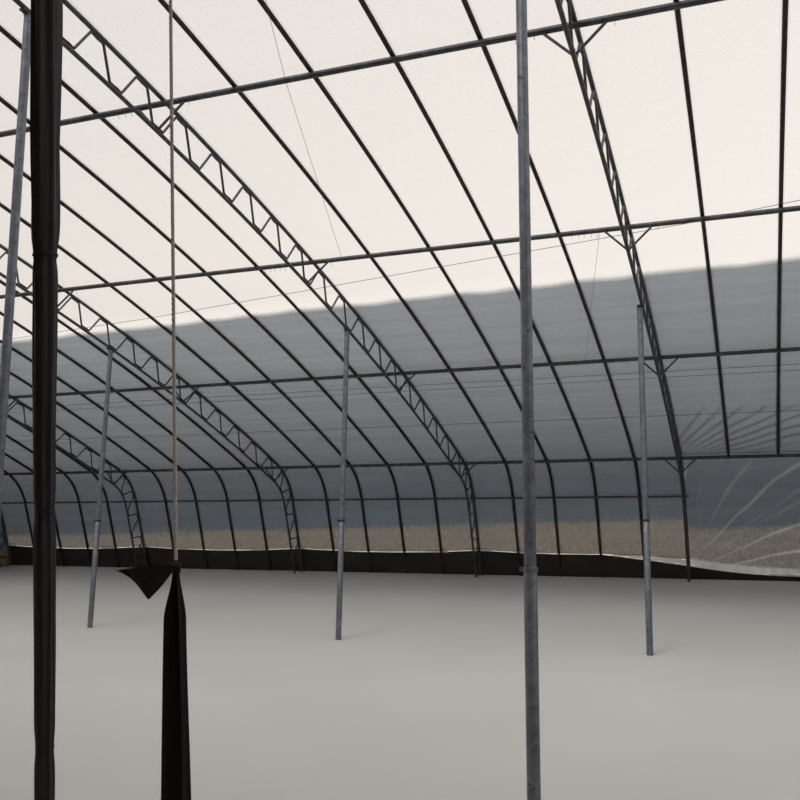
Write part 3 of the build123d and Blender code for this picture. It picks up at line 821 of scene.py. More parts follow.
@dataclass
class Steelwork:
    """Ribs, trusses, purlins, shoulder rail, braces and taut wires, all of bent round tube."""

    chord_radius: float = 16 * MM
    lacing_radius: float = 10 * MM
    purlin_radius: float = 22 * MM
    rail_radius: float = 13.5 * MM
    brace_radius: float = 10 * MM
    brace_spread: float = 0.19
    wire_radius: float = 2.5 * MM
    twine_radius: float = 1.6 * MM
    twist_radius: float = 4 * MM
    twist_steps: int = 24
    hook_radius: float = 1.5 * MM
    rail_height: float = 1.172
    panel: float = 0.5
    leg_panel: float = 0.42
    flat_share: float = 0.26
    lacing_bend: float = 22 * MM
    short_end: float = 0.08
    seat: float = 0.3 * MM
    crossing_room: float = 4 * MM
    slant_crossing: float = -3.45
    wire_places: tuple[float, ...] = (1.67, 2.57, 2.7)
    slant_left: tuple[Flat, ...] = ((5.4, 4.42), (2.4, 4.66))
    slant_right: tuple[Flat, ...] = ((-5.4, 5.69),)
    twine: tuple[tuple[tuple[Mark, float], ...], ...] = (
        ((Mark.MIDDLE, -0.35), (Mark.UPPER, -1.02), (Mark.REAR, -1.85)),
        ((Mark.LOWER, -2.2), (Mark.MIDDLE, -2.76)))
    hooks: dict[Mark, tuple[float, ...]] = field(default_factory=lambda: {
        Mark.EAVE: (0.13, 0.19, -0.14), Mark.LOWER: (0.15, 0.2, -0.13),
        Mark.MIDDLE: (0.26, 0.31, 0.365, 0.42, 0.475, -0.25), Mark.UPPER: (0.25, 0.3, 0.36, -0.24)})

    def __post_init__(self) -> None:
        """Works out the lines that the tubes share."""
        self.line, self.marks = SECTION.centre_line()
        self.rib_path = SECTION.run_of(0.0)

    def build_ribs(self) -> None:
        """Builds four ribs to a bay, short ones in the open bay."""
        eave = SECTION.place(SECTION.roof_point(-self.short_end))
        over = [point for point in self.rib_path if point.z > eave.z and point.y > eave.y]
        for bay in range(SECTION.bays):
            shape = Shape(f"ribs_{bay + 1}")
            path = [eave] + over if bay == SECTION.open_bay else self.rib_path
            for step in range(1, SECTION.ribs_per_bay):
                x = SECTION.truss_xs[bay] + SECTION.rib_pitch * step
                shape.tube([point + Vector((x, 0, 0)) for point in path], SECTION.tube_radius)
            shape.build(Finishes.RIB, f"ribs_bay_{bay + 1}")

    def lacing(self) -> list[Flat]:
        """Works out the bends of the lacing rod between the two chords."""
        reach = self.lacing_radius + self.seat
        high = offset_line(self.line, -SECTION.tube_radius - reach)
        low = offset_line(self.line, self.chord_radius + reach - SECTION.truss_depth)
        high_at, low_at = lengths(high), lengths(low)
        flat, bends = self.flat_share / 2, []
        shares = [(flat, low, low_at), (0.5 - flat, high, high_at)]
        shares += [(0.5 + flat, high, high_at), (1 - flat, low, low_at)]
        for first, last in zip(self.marks, self.marks[1:]):
            panel_length = self.panel if first else self.leg_panel
            panels = max(round((high_at[last] - high_at[first]) / panel_length), 1)
            for panel in range(panels):
                for share, chord, at in shares:
                    step = (at[last] - at[first]) * (panel + share) / panels
                    bends.append(along(chord, at[first] + step)[0])
            bends.append(low[last])
        return SECTION.clipped(bends[:-1])

    def build_trusses(self) -> None:
        """Builds the trusses: two bent chords, the lacing between them, and its welds."""
        bottom = SECTION.run_of(-SECTION.truss_depth)
        bends = [SECTION.place(point) for point in self.lacing()]
        lacing = rounded(bends, self.lacing_bend, 3)
        model = Shape("truss")
        model.tube(self.rib_path, SECTION.tube_radius)
        model.tube(bottom, self.chord_radius)
        model.tube(lacing, self.lacing_radius, 8)
        for start, end in zip(bends, bends[1:]):
            if (end - start).length < self.panel * self.flat_share:
                self.add_weld(model, start, end)
        for index, x in enumerate(SECTION.truss_xs):
            shape = Shape(f"truss_frame_{index + 1}")
            shape.points = [point + Vector((x, 0, 0)) for point in model.points]
            shape.faces = model.faces
            shape.build(Finishes.TRUSS, f"truss_{index + 1}")

    def add_weld(self, shape: Shape, start: Vector, end: Vector) -> None:
        """Adds a lumpy weld bead on each side of a flat of the lacing rod."""
        for side in (-1, 1):
            offset = Vector((side * self.lacing_radius * 0.7, 0, 0))
            path = [start.lerp(end, share) + offset for share in (0.15, 0.35, 0.55, 0.75)]
            sizes = [0.35, 1.0, 0.85, 0.35]
            shape.rings(path, lambda index, angle: self.lacing_radius * 0.75 * sizes[index], 6)

    def purlin_centre(self, mark: Mark) -> tuple[Flat, Flat]:
        """Gives the centre of a purlin, and the outward direction."""
        normal, stretch = outward(self.line, self.marks[mark])
        drop = (SECTION.tube_radius + self.seat + self.purlin_radius) * stretch
        return shift(self.line[self.marks[mark]], normal, -drop), normal

    def under_purlin(self, mark: Mark, drop: float = 0.0) -> Flat:
        """Gives a point at a distance below a purlin."""
        centre, normal = self.purlin_centre(mark)
        return shift(centre, normal, -self.purlin_radius - drop)

    def build_purlins(self) -> None:
        """Builds the seven purlins and the shoulder rail."""
        for mark in list(Mark)[Mark.EAVE : Mark.WALL]:
            name = mark.name.lower()
            centre, _ = self.purlin_centre(mark)
            shape = Shape(f"{name}_line_tube")
            ends = [SECTION.place(centre, side * SECTION.end_x) for side in (-1, 1)]
            shape.tube(ends, self.purlin_radius, 16)
            shape.build(Finishes.TRUSS, f"{name}_purlin")
        rise = self.rail_height / math.sin(SECTION.leg_slope)
        point, heading = along(SECTION.clipped(self.line), rise)
        inward = (heading[1], -heading[0])
        centre = shift(point, inward, SECTION.tube_radius + self.seat + self.rail_radius)
        gap = SECTION.rib_pitch / 10
        xs = SECTION.truss_xs
        shape = Shape("shoulder_line_tube")
        for low, high in ((-SECTION.end_x, xs[1] + gap), (xs[2] - gap, SECTION.end_x)):
            shape.tube([SECTION.place(centre, low), SECTION.place(centre, high)], self.rail_radius)
        shape.build(Finishes.TRUSS, "shoulder_rail")

    def build_braces(self) -> None:
        """Builds the knee braces: a pair of thin legs from each bottom chord up to the purlin."""
        rows = {"front": (Mark.EAVE, Mark.LOWER), "rear": (Mark.MIDDLE, Mark.UPPER, Mark.REAR)}
        for name, marks in rows.items():
            shape = Shape(f"knee_rods_{name}")
            for mark in marks:
                normal, stretch = outward(self.line, self.marks[mark])
                depth = (SECTION.truss_depth - self.chord_radius) * stretch
                low_point = shift(self.line[self.marks[mark]], normal, -depth)
                high_point = self.under_purlin(mark)
                for x in SECTION.truss_xs:
                    for side in (-1, 1):
                        high_x = x + side * self.brace_spread
                        if abs(high_x) < SECTION.end_x:
                            low = SECTION.place(low_point, x + side * self.brace_radius)
                            high = SECTION.place(high_point, high_x)
                            shape.tube([low, high], self.brace_radius, 8)
            shape.build(Finishes.TRUSS, f"knee_braces_{name}")

    def under_rib(self, distance: float, radius: float, x: float) -> Vector:
        """Gives the centre of a wire that is tied under the ribs at a distance d."""
        point, heading = at_distance(self.line, distance)
        down = (heading[1], -heading[0])
        return SECTION.place(shift(point, down, SECTION.tube_radius + self.seat + radius), x)

    def build_wires(self) -> None:
        """Builds the taut wires, their ends twisted round the end tubes, and two strings of twine."""
        shape = Shape("tie_wires")
        radius = self.wire_radius
        for distance in self.wire_places:
            ends = [self.under_rib(distance, radius, side * SECTION.end_x) for side in (-1, 1)]
            shape.tube(ends, radius, 8)
            for point in ends:
                turns = []
                for step in range(self.twist_steps):
                    arm = Vector((0, math.cos(step), math.sin(step))) * self.twist_radius
                    turns.append(point + arm - Vector((math.copysign(step * 0.9 * MM, point.x), 0, 0)))
                shape.tube(turns, radius * 0.7, 5)
        under = self.under_purlin(Mark.MIDDLE, radius + self.crossing_room)
        path = [self.under_rib(d, radius, x) for x, d in self.slant_left]
        path += [SECTION.place(under, self.slant_crossing)]
        path += [self.under_rib(d, radius, x) for x, d in self.slant_right]
        shape.tube(path, radius, 8)
        for route in self.twine:
            path = [SECTION.place(self.under_purlin(mark, self.twine_radius), x) for mark, x in route]
            shape.tube(path, self.twine_radius, 6)
        shape.build(Finishes.WIRE, "taut_wires")

    def build_hooks(self) -> None:
        """Hangs short bent wire hooks on the purlins beside the knee braces."""
        shape = Shape("purlin_hooks")
        reach = self.purlin_radius + self.hook_radius
        for mark, offsets in self.hooks.items():
            centre, _ = self.purlin_centre(mark)
            for x in SECTION.truss_xs[1:-1]:
                for index, offset in enumerate(offsets):
                    drop = 34 * MM + waver(x, offset * 9, mark) * 12 * MM
                    turns = (2.6, 1.7, 0.8, 0.0, -0.9, -1.6)
                    ring = [(-math.sin(angle) * reach, math.cos(angle) * reach) for angle in turns]
                    ring += [(reach, -reach - drop * 0.5), (reach - 4 * MM, -reach - drop),
                             (reach - 10 * MM, -reach - drop * 0.9)]
                    lean = 3 * MM * (index % 3 - 1)
                    path = [SECTION.place(shift(centre, (d, h), 1.0), x + offset + lean * at / 5)
                            for at, (d, h) in enumerate(ring)]
                    shape.tube(path, self.hook_radius, 5)
        shape.build(Finishes.WIRE)


@dataclass
class Films:
    """Single sheets of film over the roof, the front, the vent and both ends."""

    sag: float = 9 * MM
    coarse: float = 0.075
    fine: float = 0.025
    eave_fine: float = 1.6
    foot_fine: float = 0.45
    foot_step: float = 0.03
    leg_step: float = 0.05
    ripple: float = 3 * MM
    lift: float = 0.8 * MM
    side_lap: float = 15 * MM
    end_levels: int = 36
    end_stretch: float = 1.9

    def __post_init__(self) -> None:
        """Works out the centre line's lengths from the ground."""
        self.line, self.marks = SECTION.centre_line()
        self.stations = lengths(self.line)
        self.ground = -self.line[0][1] / math.sin(SECTION.leg_slope)

    def columns(self, low: float, high: float) -> list[float]:
        """Gives the places along the house where a sheet's columns stand, closer in the open bay."""
        (low_x, high_x), found = SECTION.open_span, [low]
        while found[-1] < high - 1e-4:
            step = self.fine if low_x - 0.05 <= found[-1] < high_x else self.coarse
            found.append(min(found[-1] + step, high))
        return found

    def strain(self, x: float, run: float) -> tuple[float, float]:
        """Gives the height of the folds that fan out from the open bay's eave, and the strength of the
        painted highlight on their crests.

        Args:
            x: Place along the house.
            run: Length up the roof from the eave.

        Returns:
            Height outwards in metres, and the strength of the painted highlight on the fold's crest, from 0
            to 1.
        """
        across = SECTION.open_span[1] - x
        reach = math.hypot(across, run)
        if across <= 0 or reach < 0.05:
            return 0.0, 0.0
        angle = math.atan2(run + 0.35, across + 0.25)
        fade = eased(0.1, 0.5, reach) * (1 - eased(1.8, 3.0, reach)) * eased(0.2, 0.5, angle)
        fade *= (1 - eased(1.15, 1.4, angle)) * (1 - eased(0.9, 1.5, run))
        wave = math.sin(angle * 58 + waver(x * 1.5, run * 1.5, 3.0) * 1.4)
        # Painted highlight: the top of each fold's wave is whitened in the film's colour.
        pale_and_highlight = max(wave, 0.0) ** 5
        return fade * wave * 0.5 * MM, fade * pale_and_highlight * 0.32

    def sheet(self, name: str, node: str, spans: Sequence[Flat], stations: Sequence[float],
              skirts: "Skirts | None" = None) -> bpy.types.Object:
        """Builds sheets that follow the ribs, sag between them and ripple a little.

        Args:
            name: The piece's name.
            node: The node that it stands for.
            spans: Ends of each sheet along the house.
            stations: Lengths of their rows along the centre line, from the ground.
            skirts: The skirts, if one of them stands behind these sheets.

        Returns:
            The finished piece.
        """
        shape = Shape(name)
        shape.values = {"skirted": [], "station": [], "fold": []}
        for low, high in spans:
            self.add_sheet(shape, self.columns(low, high), stations, skirts)
        return shape.build(Finishes.FILM, node, sharp=180)

    def add_sheet(self, shape: Shape, xs: Sequence[float], stations: Sequence[float],
                  skirts: "Skirts | None") -> None:
        """Adds one sheet with columns at xs and rows at stations, and the values of its points."""
        rows, runs, folds, skirted = [], [], [], []
        eave = self.stations[self.marks[Mark.EAVE]] - self.ground
        for station in stations:
            point, heading = along(self.line, station + self.ground)
            out = (-heading[1], heading[0])
            row = []
            for x in xs:
                between = math.sin(math.pi * x / SECTION.rib_pitch) ** 2
                loose = waver(x * 2.1, station * 3.3, 0.7) * self.ripple
                raised, fold = self.strain(x, station - eave)
                reach = SECTION.tube_radius + self.lift + between * (loose - self.sag) + raised * between
                row.append(SECTION.place(shift(point, out, reach), x))
                runs.append(station)
                loosened = skirts is not None and 0 < point[1] - skirts.top(x) < skirts.slack(x)
                # The fold value is the painted highlight on fold crests; 2.0 whitens the slack film's edge
                # above the skirt.
                folds.append(2.0 if loosened else fold)
                skirted.append(skirts.top(x) + skirts.slack(x) - point[1] if skirts else -1.0)
            rows.append(row)
        shape.grid(rows)
        for name, values in (("skirted", skirted), ("station", runs), ("fold", folds)):
            shape.values[name] += values

    def rows(self, low: float, high: float, step: float) -> list[float]:
        """Gives even lengths between two lengths along the section."""
        return even(low, high, max(round((high - low) / step), 1))

    def build(self, skirts: "Skirts") -> None:
        """Builds the main, vent, front and end sheets.

        Args:
            skirts: The skirts that stand behind the front sheet's foot.
        """
        half = SECTION.film_end
        marks = [self.marks[mark] for mark in (Mark.EAVE, Mark.VENT, Mark.RIDGE)]
        eave, vent, ridge = (self.stations[mark] - self.ground for mark in marks)
        stations = self.rows(eave, eave + self.eave_fine, self.fine)
        stations += self.rows(eave + self.eave_fine, vent, self.coarse * 2)[1:]
        piece = self.sheet("roof_film", "main_film", [(-half, half)], stations)
        stations = self.rows(vent, ridge, self.coarse * 2)
        piece = self.sheet("vent_film_sheet", "vent_film", [(-half, half)], stations)
        open_low, open_high = SECTION.open_span
        spans = [(-half, open_low + self.side_lap), (open_high - self.side_lap, half)]
        stations = self.rows(0.0, self.foot_fine, self.foot_step)
        stations += self.rows(self.foot_fine, eave, self.leg_step)[1:]
        piece = self.sheet("front_film_sheet", "front_film", spans, stations, skirts)
        self.build_ends(half)

    def build_ends(self, half: float) -> None:
        """Builds the sheets over both ends, as upright rows from the ground to the roof film."""
        shape, runs = Shape("end_film_sheets"), []
        line = offset_line(self.line, SECTION.tube_radius)
        wall = SECTION.wall_inner - 1 * MM
        outline = SECTION.clipped(line)[:-1] + [at_distance(line[-2:], wall)[0]]
        outline = [point for point in outline if point[0] <= wall + 1e-6]
        area = sum((end[0] - start[0]) * (start[1] + end[1]) / 2 for start, end in zip(outline, outline[1:]))
        for side in (-1, 1):
            rows = []
            for level in even(0, 1, self.end_levels):
                row = []
                for d, top in outline:
                    height = top * level
                    puff = waver(d * 1.3, height * 1.7, side) * 6 * MM
                    edge = eased(0, 0.3, top - height) * eased(0, 0.3, height)
                    x = side * (half - 2 * MM + puff * edge - 6 * MM * edge)
                    row.append(SECTION.place((d, height), x))
                    runs.append(height * self.end_stretch)
                rows.append(row)
            shape.grid(rows)
        shape.values = {"station": runs, "fold": [0.0] * len(runs)}
        piece = shape.build(Finishes.FILM, "end_films", sharp=180)
        top = max(point[1] for point in outline)


@dataclass
class Posts:
    """Round posts under the trusses, sleeved below, with head plates and band clamps."""

    radius: float = 26 * MM
    sleeve_radius: float = 29 * MM
    chord_radius: float = 16 * MM
    front: Flat = (4.96, 4.58)
    rear: Flat = (9.5, 9.13)
    front_sleeve: float = 1.172
    rear_sleeve: float = 1.27
    end_inset: float = 18.2 * MM
    step: float = 22 * MM
    plate: tuple[float, float, float] = (0.12, 0.04, 0.008)
    band: float = 20 * MM
    lug: float = 20 * MM
    lug_gap: float = 4 * MM
    bolt_radius: float = 3 * MM

    def __post_init__(self) -> None:
        """Works out the bottom chord and the places along the house."""
        self.chord = offset_line(SECTION.centre_line()[0], -SECTION.truss_depth)
        self.xs = list(SECTION.truss_xs)
        self.xs[0] += self.end_inset
        self.xs[-1] -= self.end_inset
        self.xs[SECTION.open_bay + 1] += self.step

    def head(self, distance: float) -> tuple[Flat, Flat, Flat]:
        """Gives the middle of the bottom chord's underside, and the directions along and down."""
        point, heading = at_distance(self.chord, distance)
        down = (heading[1], -heading[0])
        return shift(point, down, self.chord_radius), heading, down

    def axis(self, row: Flat) -> tuple[Flat, Flat]:
        """Gives a post's foot and its top under the head plate."""
        top, _, down = self.head(row[1])
        return (row[0], 0.0), shift(top, down, self.plate[2])

    def build(self) -> None:
        """Builds both rows of posts, their clamps and their head plates."""
        bands, plates = Shape("band_clamps"), Shape("head_plate_welds")
        rows = (("front", self.front, self.front_sleeve), ("rear", self.rear, self.rear_sleeve))
        for name, row, sleeve in rows:
            shape = Shape(f"post_row_{name}")
            low, high = self.axis(row)
            axis = unit(low, high)
            for x in self.xs:
                foot, top = SECTION.place(low, x), SECTION.place(shift(high, axis, 6 * MM), x)
                shape.tube([foot, top], self.radius, 24)
                lip = SECTION.place(shift(low, axis, sleeve), x)
                edge = SECTION.place(shift(low, axis, sleeve - 3 * MM), x)
                reaches = (self.sleeve_radius, self.sleeve_radius, self.radius + 1 * MM)
                shape.rings([foot, edge, lip], lambda index, angle: reaches[index], 24)
                self.add_clamp(bands if name == "front" else shape, shift(low, axis, sleeve), axis, x)
                self.add_plate(plates, row, x)
            shape.build(Finishes.POST, f"{name}_posts")
        bands.build(Finishes.CLAMP, "post_collars")
        plates.build(Finishes.TRUSS, "post_head_plates")

    def add_clamp(self, shape: Shape, top: Flat, axis: Flat, x: float) -> None:
        """Adds a band clamp round a sleeve's upper end, with its bolt lugs."""
        levels = (0.0, 2 * MM, self.band - 2 * MM, self.band)
        path = [SECTION.place(shift(top, axis, level - self.band), x) for level in levels]
        reaches = (self.sleeve_radius + 1 * MM, self.sleeve_radius + 4 * MM, self.sleeve_radius + 4 * MM,
                   self.sleeve_radius + 1 * MM)
        shape.rings(path, lambda index, angle: reaches[index], 24)
        start = path[0] + Vector((self.sleeve_radius, 0, 0))
        for side in (-1, 1):
            at = start + Vector((0, side * self.lug_gap, 0))
            lug = [at, at + Vector((self.lug, 0, 0)), at + Vector((self.lug, 0, self.band)),
                   at + Vector((0, 0, self.band))]
            shape.slab(lug, Vector((0, 2 * MM, 0)))
        bolt = start + Vector((12 * MM, 0, self.band / 2))
        shape.tube([bolt - Vector((0, 12 * MM, 0)), bolt + Vector((0, 14 * MM, 0))], self.bolt_radius, 6)

    def add_plate(self, shape: Shape, row: Flat, x: float) -> None:
        """Adds the flat plate between a post and the bottom chord, and the weld round the post."""
        top, heading, down = self.head(row[1])
        length, width, thickness = self.plate
        ends = [shift(top, heading, side * length / 2) for side in (-1, 1)]
        outline = ends + [shift(end, down, thickness) for end in reversed(ends)]
        shape.slab([SECTION.place(point, x - width / 2) for point in outline], Vector((width, 0, 0)))
        low = SECTION.place(shift(top, down, thickness + 2 * MM), x)
        bead = []
        for step in range(17):
            angle = 2 * math.pi * step / 16
            arm = Vector((math.cos(angle), heading[0] * math.sin(angle), heading[1] * math.sin(angle)))
            bead.append(low + arm * self.radius)
        shape.rings(bead, lambda index, angle: (3 + index % 2) * MM, 6, capped=False)


@dataclass
class EndFrames:
    """Studs and rails of both ends, all of round tube, welded under the end trusses."""

    studs: tuple[float, ...] = (2.4, 7.2, 11.7)
    rails: tuple[float, ...] = (1.172, 2.4)

    def build(self, posts: Posts) -> None:
        """Builds both end frames.

        Args:
            posts: The posts, which give the bottom chord and what the rails stop at.
        """
        for name, x in (("left", SECTION.truss_xs[0]), ("right", SECTION.truss_xs[-1])):
            shape = Shape(f"end_tubes_{name}")
            for distance in self.studs:
                top, _, _ = posts.head(distance)
                shape.tube([SECTION.place((distance, 0), x), SECTION.place(top, x)], SECTION.tube_radius)
            for height in self.rails:
                for low, high in self.spans(posts, height):
                    ends = [SECTION.place((low, height), x), SECTION.place((high, height), x)]
                    shape.tube(ends, SECTION.tube_radius)
            shape.build(Finishes.TRUSS, f"end_frame_{name}")

    def spans(self, posts: Posts, height: float) -> list[Flat]:
        """Gives the stretches of a rail between the bottom chord, the studs, the posts and the wall."""
        rising = [(h, d) for d, h in posts.chord[: len(posts.chord) // 2]]
        start = at_distance(rising, height)[0][1] + posts.chord_radius
        stops = [(d, SECTION.tube_radius) for d in self.studs if posts.head(d)[0][1] > height]
        for row in (posts.front, posts.rear):
            low, high = posts.axis(row)
            stops.append((low[0] + (high[0] - low[0]) * height / high[1], posts.sleeve_radius))
        spans = []
        for centre, half in sorted(stops):
            spans.append((start, centre - half))
            start = centre + half
        return spans + [(start, SECTION.wall_inner)]


@dataclass
class Skirts:
    """Single sheets of black film round the foot of the house, folded where they are slack."""

    height: float = 0.375
    dip: float = 0.045
    open_height: float = 0.185
    open_dip: float = 0.125
    fall: float = 1.2
    lift: float = 7 * MM
    bulge: float = 6 * MM
    end_bulge: float = 5 * MM
    column: float = 0.03
    rows: int = 9

    def top(self, x: float) -> float:
        """Gives the height of the upper edge, which dips between trusses and in the open bay."""
        low, high = SECTION.open_span
        share = (x / SECTION.bay_length + SECTION.bays / 2) % 1
        dip = 4 * share * (1 - share)
        beyond = max(low - x, x - high)
        if beyond < 0:
            return self.open_height - self.open_dip * dip
        rise = self.height - self.dip * dip - self.open_height
        wave = waver(x * 2.3, 4.0, 0.0) * 7 * MM
        return self.open_height + rise * min(beyond / self.fall, 1) + wave

    def slack(self, x: float) -> float:
        """Gives how high the pale edge of slack film shows above the skirt, most beside the open bay."""
        beyond = x - SECTION.open_span[1]
        return 0.008 + 0.085 * (1 - min(abs(beyond) / self.fall, 1)) * (beyond > -self.fall)

    def fold(self, x: float, height: float, slack: float) -> float:
        """Gives how far the sheet bulges out at a place, in upright and slanting folds."""
        drift = waver(x * 1.7, height * 2.0, 1.0) * 3
        wave = math.sin(x * 34 + height * 9 + drift * 2) * 0.6 + math.sin(x * 13 - height * 22 + drift) * 0.4
        return (wave * 0.5 + 0.5) * slack * (0.4 + waver(x * 3.1, 0.0, 7.0) ** 2 * 4)

    def build(self, line: Sequence[Flat]) -> None:
        """Builds the front skirt and both end skirts.

        Args:
            line: The ribs' centre line.
        """
        half = SECTION.film_end
        steps = round(2 * half / self.column)
        up = (math.cos(SECTION.leg_slope), math.sin(SECTION.leg_slope))
        out = (-up[1], up[0])
        xs = even(-half, half, steps)
        foot = SECTION.clipped(offset_line(line, SECTION.tube_radius))[0][0]

        def in_front(x: float, share: float) -> Vector:
            height = self.top(x) * share
            reach = SECTION.tube_radius + self.lift
            reach += self.fold(x, height, self.bulge) * eased(0, 0.04, height)
            level = height - reach * out[1]
            start = (SECTION.foot_d + level / math.tan(SECTION.leg_slope), level)
            return SECTION.place(shift(start, out, reach), x)

        def at_end(d: float, height: float) -> Vector:
            d = max(d, foot + height / math.tan(SECTION.leg_slope))
            bulge = self.fold(d, height, self.end_bulge) * eased(0, 0.04, height)
            return SECTION.place((d, height), side * (half + 3 * MM + bulge))

        shape = Shape("black_skirt_front")
        shape.surface(xs, even(0, 1, self.rows), in_front)
        # This counts one row too many, so the flat area worked out here is a ninth higher than the sheet is.
        # The declared flat is a ninth higher than the sheet is.
        area = sum(self.top(x) for x in xs) * 2 * half / steps * (self.rows + 1) / self.rows / up[1]
        piece = shape.build(Finishes.SKIRT, "front_skirt", sharp=180)
        shape = Shape("black_skirt_ends")
        ds = even(foot, SECTION.wall_inner - 1 * MM, round((SECTION.wall_inner - foot) / 0.1))
        for side in (-1, 1):
            shape.surface(ds, even(0, self.height, self.rows // 2), at_end)
        piece = shape.build(Finishes.SKIRT, "end_skirts", sharp=180)
        flat = (2 * (SECTION.wall_inner - foot), self.height)


@dataclass
class LooseFilm:
    """The slack sheet of the open bay, from the eave out and down to a rolled hem."""

    reach: float = 0.42
    side_gap: float = 0.018
    side_lap: float = 0.045
    sag: float = 0.55
    short_end: float = 0.08
    hem_radius: float = 33 * MM
    column: float = 0.0125
    rows: int = 128
    hem_steps: int = 150

    def __post_init__(self) -> None:
        """Works out the sheet's profile, from the hem up to the eave."""
        line, marks = SECTION.centre_line()
        lift = SECTION.tube_radius + 1.2 * MM
        eave = offset_line(line, lift)[marks[Mark.EAVE]]
        edge_point = SECTION.roof_point(-self.short_end - 12 * MM)
        heading = unit(edge_point, line[marks[Mark.EAVE]])
        edge = shift(edge_point, (-heading[1], heading[0]), lift)
        foot = (-self.reach - 4 * MM, 2 * self.hem_radius - 2 * MM)
        profile = []
        for share in even(0, 1, 24):
            run = foot[0] + (edge[0] - foot[0]) * share ** (1 + self.sag)
            profile.append((run, foot[1] + (edge[1] - foot[1]) * share))
        lap = SECTION.roof_point(0.015)
        self.profile = profile + [eave, shift(lap, (-heading[1], heading[0]), lift + 2 * MM)]
        self.low = SECTION.open_span[0] + self.side_gap
        self.high = SECTION.open_span[1] + self.side_lap

    def strain(self, x: float, run: float) -> tuple[float, float]:
        """Gives the height of the folds that fan out from the hem's inner end, and the strength of the
        painted highlight on their crests.

        Args:
            x: Place along the house.
            run: Length up the sheet from the hem.

        Returns:
            Height outwards in metres, and the strength of the painted highlight on the fold's crest, from 0
            to 1.
        """
        across = self.high - x + 0.12
        angle = math.atan2(run + 0.06, across)
        reach = math.hypot(across, run)
        drift = waver(x * 1.6, run * 1.9, 5.0)
        wave = math.sin(angle * 31 + drift * 1.2) * 0.6 + math.sin(angle * 83 + drift * 2) * 0.4
        fade = eased(0.05, 0.4, reach) * (1 - eased(1.5, 3.4, reach) * 0.7)
        low = 1 - eased(0.5, 1.1, angle)
        # Painted highlight: the top of each fold's wave is whitened in the film's colour.
        pale_and_highlight = max(wave, 0.0) ** 5 * (0.25 + 0.6 * low)
        return wave * fade * (1.5 + 4 * low) * MM, pale_and_highlight * fade

    def build(self, skirts: Skirts) -> None:
        """Builds the sheet and its hem.

        Args:
            skirts: The skirts, behind whose edge the sheet's foot lies gathered and pale.
        """
        total = lengths(self.profile)[-1]
        xs = even(self.low, self.high, round((self.high - self.low) / self.column))
        shape, rows, runs, folds = Shape("slack_sheet"), [], [], []
        for run in even(0, total, self.rows):
            point, heading = along(self.profile, run)
            out = (-heading[1], heading[0])
            points = []
            for x in xs:
                raised, fold = self.strain(x, run)
                near_ribs = math.sin(math.pi * x / SECTION.rib_pitch) ** 2
                hold = eased(0.0, 0.12, run) * eased(0.0, 0.35, total - run)
                belly = -14 * MM * near_ribs * eased(0.9, 0.2, total - run)
                pushed = raised * hold + belly * eased(0.0, 0.03, total - run)
                points.append(SECTION.place(shift(point, out, pushed), x))
                runs.append(point[1])
                gathered = 1 - eased(0.06, 0.1, point[1] - skirts.top(x))
                pleats = 0.75 + 0.35 * waver(x * 11, point[1] * 4, 2.0)
                # The fold value takes the larger of the painted crest highlight and the pale of film
                # gathered at the skirt.
                folds.append(max(fold * hold, gathered * pleats))
            rows.append(points)
        shape.grid(rows)
        shape.values = {"station": runs, "fold": folds}
        piece = shape.build(Finishes.SLACK_FILM, "loose_film", sharp=180)
        self.build_hem()

    def build_hem(self) -> None:
        """Builds the rolled hem, gathered in twisted folds."""
        shape, path = Shape("slack_sheet_hem"), []
        for x in even(self.low, self.high, self.hem_steps):
            lift = waver(x * 3.0, 1.0, 2.0) * 5 * MM
            path.append(SECTION.place((-self.reach + lift, self.hem_radius + abs(lift)), x))

        def gathered(index: int, angle: float) -> float:
            swell = waver(index * 0.09, 3.0, 1.0)
            pleat = math.sin(angle * 5 + index * 0.32) * 0.12 + math.sin(angle * 9 - index * 0.21) * 0.06
            return self.hem_radius * (0.86 + swell * 0.2 + pleat)

        shape.rings(path, gathered, 28)
        shape.values = {"station": [0.3] * len(shape.points), "fold": [0.25] * len(shape.points)}
        shape.build(Finishes.HEM, "loose_film_hem", sharp=60)


